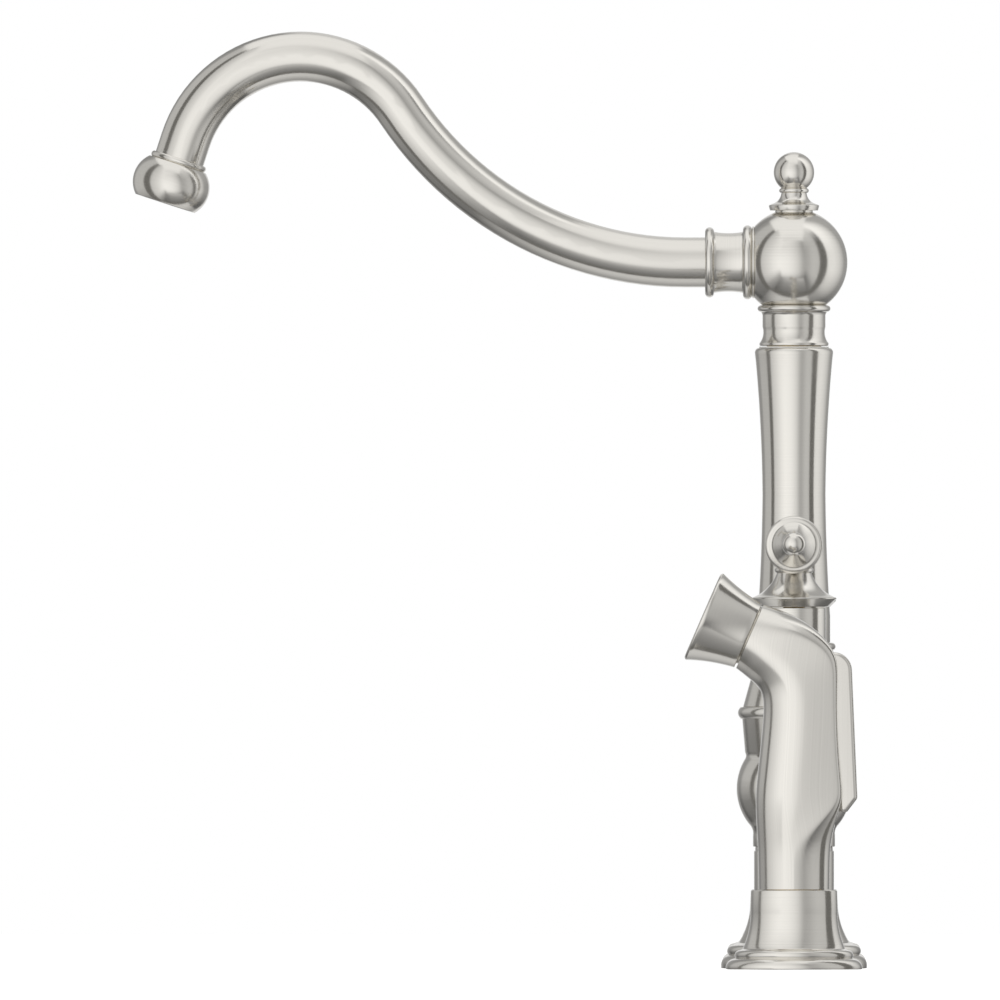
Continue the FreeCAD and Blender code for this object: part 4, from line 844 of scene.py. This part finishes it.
# %% Brushed nickel
nickel, tree, shader, place = new_finish("brushed_nickel", 1)
brushing = tree.nodes.new("ShaderNodeAttribute")
brushing.attribute_name = "brushing"
mark = use_group(tree, brush_marks, Across=brushing.outputs["Fac"], Place=place, Lines_per_Metre=2600.0)
patch = use_group(tree, handling, Place=place, Patches_per_Metre=38.0)
shade_by(tree, shader, mark, (0.765, 0.742, 0.694), (0.835, 0.812, 0.762))
gloss_by(tree, shader, mean_of(tree, mark, patch), 0.12, 0.21)
bump_by(tree, shader, mark, 0.05, 0.02 * MM)
print("finish", nickel.name)

# %% [markdown]
# Metals out of sight
#
# Shanks, nuts and cartridges are machined brass with a duller, yellower shine. The washers and the trigger's
# pin are zinc plated steel, whose crystals show as a faint spangle.

# %% Plain brass
brass, tree, shader, place = new_finish("plain_brass", 1)
level = tree.nodes.new("ShaderNodeSeparateXYZ")
tree.links.new(place, level.inputs[0])
mark = use_group(tree, brush_marks, Across=level.outputs["Z"], Place=place, Lines_per_Metre=1400.0)
patch = use_group(tree, handling, Place=place, Patches_per_Metre=60.0)
shade_by(tree, shader, mean_of(tree, mark, patch), (0.62, 0.44, 0.20), (0.82, 0.62, 0.32))
gloss_by(tree, shader, patch, 0.22, 0.42)
bump_by(tree, shader, mark, 0.12, 0.03 * MM)
print("finish", brass.name)

# %% Zinc plated steel
zinc, tree, shader, place = new_finish("zinc_steel", 1)
grain = use_group(tree, speckle, Place=place, Grains_per_Metre=420.0)
patch = use_group(tree, handling, Place=place, Patches_per_Metre=90.0)
shade_by(tree, shader, grain, (0.50, 0.52, 0.54), (0.70, 0.72, 0.75))
gloss_by(tree, shader, mean_of(tree, grain, patch), 0.26, 0.48)
bump_by(tree, shader, grain, 0.08, 0.02 * MM)
print("finish", zinc.name)

# %% [markdown]
# Rubber, nylon and plastic
#
# The gaskets and nubs are matt black rubber with a dusty bloom. The guide and the stream former are white
# nylon, and the spray face is a dark grey plastic with a fine moulded grain.

# %% Black rubber
rubber, tree, shader, place = new_finish("black_rubber", 0)
grain = use_group(tree, speckle, Place=place, Grains_per_Metre=1800.0)
patch = use_group(tree, handling, Place=place, Patches_per_Metre=120.0)
shade_by(tree, shader, mean_of(tree, grain, patch), (0.012, 0.012, 0.013), (0.045, 0.044, 0.042))
gloss_by(tree, shader, patch, 0.55, 0.78)
bump_by(tree, shader, grain, 0.25, 0.05 * MM)
print("finish", rubber.name)

# %% White nylon
nylon, tree, shader, place = new_finish("white_nylon", 0)
grain = use_group(tree, speckle, Place=place, Grains_per_Metre=1100.0)
patch = use_group(tree, handling, Place=place, Patches_per_Metre=80.0)
shade_by(tree, shader, patch, (0.76, 0.75, 0.71), (0.86, 0.86, 0.83))
gloss_by(tree, shader, mean_of(tree, grain, patch), 0.34, 0.5)
bump_by(tree, shader, grain, 0.1, 0.03 * MM)
print("finish", nylon.name)

# %% Grey plastic
plastic, tree, shader, place = new_finish("grey_plastic", 0)
grain = use_group(tree, speckle, Place=place, Grains_per_Metre=1500.0)
patch = use_group(tree, handling, Place=place, Patches_per_Metre=100.0)
shade_by(tree, shader, mean_of(tree, grain, patch), (0.19, 0.19, 0.195), (0.29, 0.29, 0.29))
gloss_by(tree, shader, patch, 0.38, 0.55)
bump_by(tree, shader, grain, 0.2, 0.04 * MM)
print("finish", plastic.name)

# %% [markdown]
# Putting the finishes on
#
# Every new piece, and every frame node that still shows, takes the finish of its slot.

# %% Assign
FINISHES = {"brushed_nickel": nickel, "plain_brass": brass, "zinc_steel": zinc, "black_rubber": rubber,
            "white_nylon": nylon, "grey_plastic": plastic}


def put_on(piece, finish):
    piece.data.materials.clear()
    piece.data.materials.append(finish)


for node, piece in pieces.items():
    put_on(piece, FINISHES[slot_of[node]])
put_on(spray_nubs, rubber)
put_on(stream_grid, nylon)
kept = [node for node in nodes if node not in pieces]
for node in kept:
    for slot in nodes[node].material_slots:
        slot.material = FINISHES[slot_of[node]]
print("finished:", len(pieces) + 2, "pieces and", len(kept), "frame nodes")

# %% [markdown]
# The camera
#
# The photograph was taken square to the faucet's side from far away, with hardly any perspective. A very
# long lens far off does the same. The picture is 1000 pixels wide, and the faucet's height sets what one is
# worth.

# %% Camera
PIXEL = 0.37 * MM
WIDTH = 1000
LENS = 1700
SENSOR = 36
AXIS_PIXEL = 794
FLOOR_PIXEL = 967.5
CAMERA_HEIGHT = 65 * MM
distance = WIDTH * PIXEL * LENS / SENSOR
aim = Vector((0, (WIDTH / 2 - AXIS_PIXEL) * PIXEL, (FLOOR_PIXEL - WIDTH / 2) * PIXEL))
bpy.ops.object.camera_add(location=(distance, 0, CAMERA_HEIGHT))
camera = bpy.context.object
camera.data.lens = LENS
camera.data.sensor_width = SENSOR
camera.data.clip_end = 100
camera.rotation_euler = (aim - camera.location).to_track_quat("-Z", "Y").to_euler()
bpy.context.scene.camera = camera
print("camera", round(distance, 2), "m away")

# %% [markdown]
# The light tent
#
# Polished metal shows what stands round it, so the light is a tent: glowing walls, front and back, with a
# dark slit between the two halves. The slit draws the thin dark lines along every tube and ball. The walls
# are planes that the camera doesn't see, and each glows by a ramp across its width and one up its height.

# %% Tent panels
TENT_GLOW = 2


def glow_ramp(tree, along, stops):
    """A ramp from (place, glow) stops along one coordinate."""
    first, last = stops[0][0], stops[-1][0]
    spread = tree.nodes.new("ShaderNodeMapRange")
    spread.inputs["From Min"].default_value = first
    spread.inputs["From Max"].default_value = last
    tree.links.new(along, spread.inputs["Value"])
    ramp = tree.nodes.new("ShaderNodeValToRGB")
    tree.links.new(spread.outputs["Result"], ramp.inputs[0])
    elements = ramp.color_ramp.elements
    for stop, _ in stops[1:-1]:
        elements.new((stop - first) / (last - first))
    for element, (_, glow) in zip(elements, stops):
        element.color = (glow / TENT_GLOW, glow / TENT_GLOW, glow / TENT_GLOW, 1)
    return ramp.outputs["Color"]


def glow_finish(name, along, across):
    """A glow that is the product of two ramps, each an axis and its stops."""
    material = bpy.data.materials.new(name)
    material.use_nodes = True
    material.cycles.emission_sampling = "NONE"
    tree = material.node_tree
    tree.nodes.clear()
    split = tree.nodes.new("ShaderNodeSeparateXYZ")
    tree.links.new(tree.nodes.new("ShaderNodeTexCoord").outputs["Object"], split.inputs[0])
    product = tree.nodes.new("ShaderNodeVectorMath")
    product.operation = "MULTIPLY"
    for socket, (axis, stops) in zip(product.inputs, (along, across)):
        tree.links.new(glow_ramp(tree, split.outputs[axis], stops), socket)
    glow = tree.nodes.new("ShaderNodeEmission")
    glow.inputs["Strength"].default_value = TENT_GLOW ** 2
    tree.links.new(product.outputs[0], glow.inputs["Color"])
    out = tree.nodes.new("ShaderNodeOutputMaterial")
    tree.links.new(glow.outputs[0], out.inputs["Surface"])
    return material


def tent_panel(name, low, high, along, across):
    """A plane between two corners: level if they share their height, upright if not."""
    low, high = Vector(low), Vector(high)
    size = high - low
    bpy.ops.object.select_all(action="DESELECT")
    bpy.ops.mesh.primitive_plane_add(size=1, location=(low + high) / 2)
    panel = bpy.context.object
    panel.name = name
    if size.z:
        panel.rotation_euler = (math.pi / 2, 0, math.atan2(size.y, size.x))
        panel.scale = (size.xy.length, size.z, 1)
    else:
        panel.scale = (size.x, size.y, 1)
    place_applied(panel)
    panel.data.materials.append(glow_finish(name, along, across))
    panel.visible_camera = False
    panel.visible_shadow = False
    return panel


# %% Set up the tent
FRONT, BACK, ROOF, FLOOR = 0.95, -0.9, 1.3, -0.43
RISE = ("Z", [(FLOOR, 0.4), (-0.33, 0.72), (-0.2, 0.92), (-0.05, 1), (0.3, 1), (0.63, 0.9), (0.93, 0.82),
              (ROOF, 0.88)])
LOW_SIDE = [(FLOOR, 0.25), (-0.19, 0.5), (-0.09, 0.79), (0.05, 1), (0.3, 1)]
LEFT_RISE = ("Z", LOW_SIDE + [(0.63, 0.9), (0.93, 0.88), (ROOF, 0.9)])
RIGHT_RISE = ("Z", LOW_SIDE + [(0.63, 0.95), (0.93, 1.1), (ROOF, 1.3)])
LOW_BACK = [(FLOOR, 0.3), (-0.1, 0.44), (0.04, 0.73), (0.12, 0.86), (0.2, 1)]
BACK_LEFT_RISE = ("Z", LOW_BACK + [(ROOF, 1)])
BACK_RIGHT_RISE = ("Z", LOW_BACK + [(0.33, 1), (0.45, 1.15), (0.6, 1.25), (0.8, 1.25), (ROOF, 1.25)])
FLOOR_SIDES = ("Y", [(-0.65, 0.4), (-0.3, 0.95), (0, 1), (0.45, 1)])
EVEN = ("Y", [(-0.7, 1), (0.7, 1)])
SLIT_TOP = ("Z", [(0.55, 0.16), (0.75, 0.5), (0.95, 0.85), (ROOF, 0.92)])
tent = [
    tent_panel("tent_front", (FRONT, -0.55, FLOOR), (FRONT, 0.43, ROOF), ("Y", [
        (-0.55, 1.08), (-0.41, 1.06), (-0.21, 1.03), (-0.03, 0.93), (0.15, 0.77), (0.34, 0.48),
        (0.43, 0.45)]), RISE),
    tent_panel("tent_front_left", (0.13, -0.51, FLOOR), (FRONT, -0.55, ROOF), ("X", [
        (0.13, 0.64), (0.19, 0.71), (0.34, 0.83), (0.53, 0.98), (0.8, 1.07), (FRONT, 1.08)]), LEFT_RISE),
    tent_panel("tent_front_right", (0.2, 0.3, FLOOR), (FRONT, 0.43, ROOF), ("X", [
        (0.2, 0.6), (0.36, 0.61), (0.64, 0.49), (FRONT, 0.45)]), RIGHT_RISE),
    tent_panel("tent_front_floor", (0.25, -0.55, FLOOR), (FRONT, 0.43, FLOOR), ("X", [
        (0.25, 0.2), (0.35, 0.24), (0.65, 0.37), (FRONT, 0.62)]), FLOOR_SIDES),
    tent_panel("tent_back_left", (BACK, -0.62, FLOOR), (0.0, -0.62, ROOF), ("X", [
        (BACK, 0.31), (-0.6, 0.34), (-0.4, 0.54), (0.0, 0.57)]), BACK_LEFT_RISE),
    tent_panel("tent_back_right", (BACK, 0.27, FLOOR), (0.072, 0.27, ROOF), ("X", [
        (BACK, 0.32), (-0.28, 0.36), (-0.11, 0.76), (-0.02, 0.91), (0.072, 0.92)]), BACK_RIGHT_RISE),
    tent_panel("tent_back_floor", (BACK, -0.62, FLOOR), (0.09, 0.3, FLOOR), ("X", [
        (BACK, 0.33), (-0.47, 0.43), (-0.127, 0.65), (0.09, 0.72)]), FLOOR_SIDES),
    tent_panel("tent_back", (BACK, -0.62, FLOOR), (BACK, 0.27, ROOF), ("Y", [
        (-0.62, 0.32), (-0.3, 0.36), (-0.2, 0.8), (0.2, 0.8), (0.27, 0.36)]), RISE),
    tent_panel("tent_roof", (BACK, -0.62, ROOF), (FRONT, 0.43, ROOF), ("X", [
        (BACK, 0.55), (-0.6, 0.9), (-0.3, 0.96), (0.5, 0.96), (FRONT, 0.8)]), EVEN),
    tent_panel("tent_slit_right", (0.02, 0.29, 0.55), (0.25, 0.32, ROOF), SLIT_TOP, EVEN),
]
print("tent of", len(tent), "panels")

# %% [markdown]
# Behind the tent
#
# The world is white paper to the camera, and almost dark to everything else, so that only the slit shows it.
# The floor is plain and pale, and it glows a little so that the paper runs on below the faucet.

# %% World and floor
SLIT_LIGHT = 0.16
FLOOR_SIZE = 8
FLOOR_GLOW = 0.97
world = bpy.data.worlds.new("studio")
bpy.context.scene.world = world
world.use_nodes = True
tree = world.node_tree
tree.nodes.clear()
slit = tree.nodes.new("ShaderNodeBackground")
slit.inputs["Color"].default_value = (1, 0.98, 0.94, 1)
slit.inputs["Strength"].default_value = SLIT_LIGHT
paper = tree.nodes.new("ShaderNodeBackground")
paper.inputs["Color"].default_value = (1, 1, 1, 1)
choose = tree.nodes.new("ShaderNodeMixShader")
tree.links.new(tree.nodes.new("ShaderNodeLightPath").outputs["Is Camera Ray"], choose.inputs[0])
tree.links.new(slit.outputs[0], choose.inputs[1])
tree.links.new(paper.outputs[0], choose.inputs[2])
out = tree.nodes.new("ShaderNodeOutputWorld")
tree.links.new(choose.outputs[0], out.inputs[0])

bpy.ops.object.select_all(action="DESELECT")
bpy.ops.mesh.primitive_plane_add(size=FLOOR_SIZE, location=(0, 0, 0))
floor = bpy.context.object
floor.name = "floor"
floor.visible_glossy = False
floor.visible_shadow = False
pale = bpy.data.materials.new("pale_floor")
pale.use_nodes = True
shader = pale.node_tree.nodes["Principled BSDF"]
shader.inputs["Base Color"].default_value = (0.9, 0.9, 0.9, 1)
shader.inputs["Roughness"].default_value = 1
shader.inputs["Emission Color"].default_value = (1, 1, 1, 1)
shader.inputs["Emission Strength"].default_value = FLOOR_GLOW
pale.cycles.emission_sampling = "NONE"
floor.data.materials.append(pale)
bpy.context.scene.view_settings.view_transform = "Standard"
print("floor and paper are white")
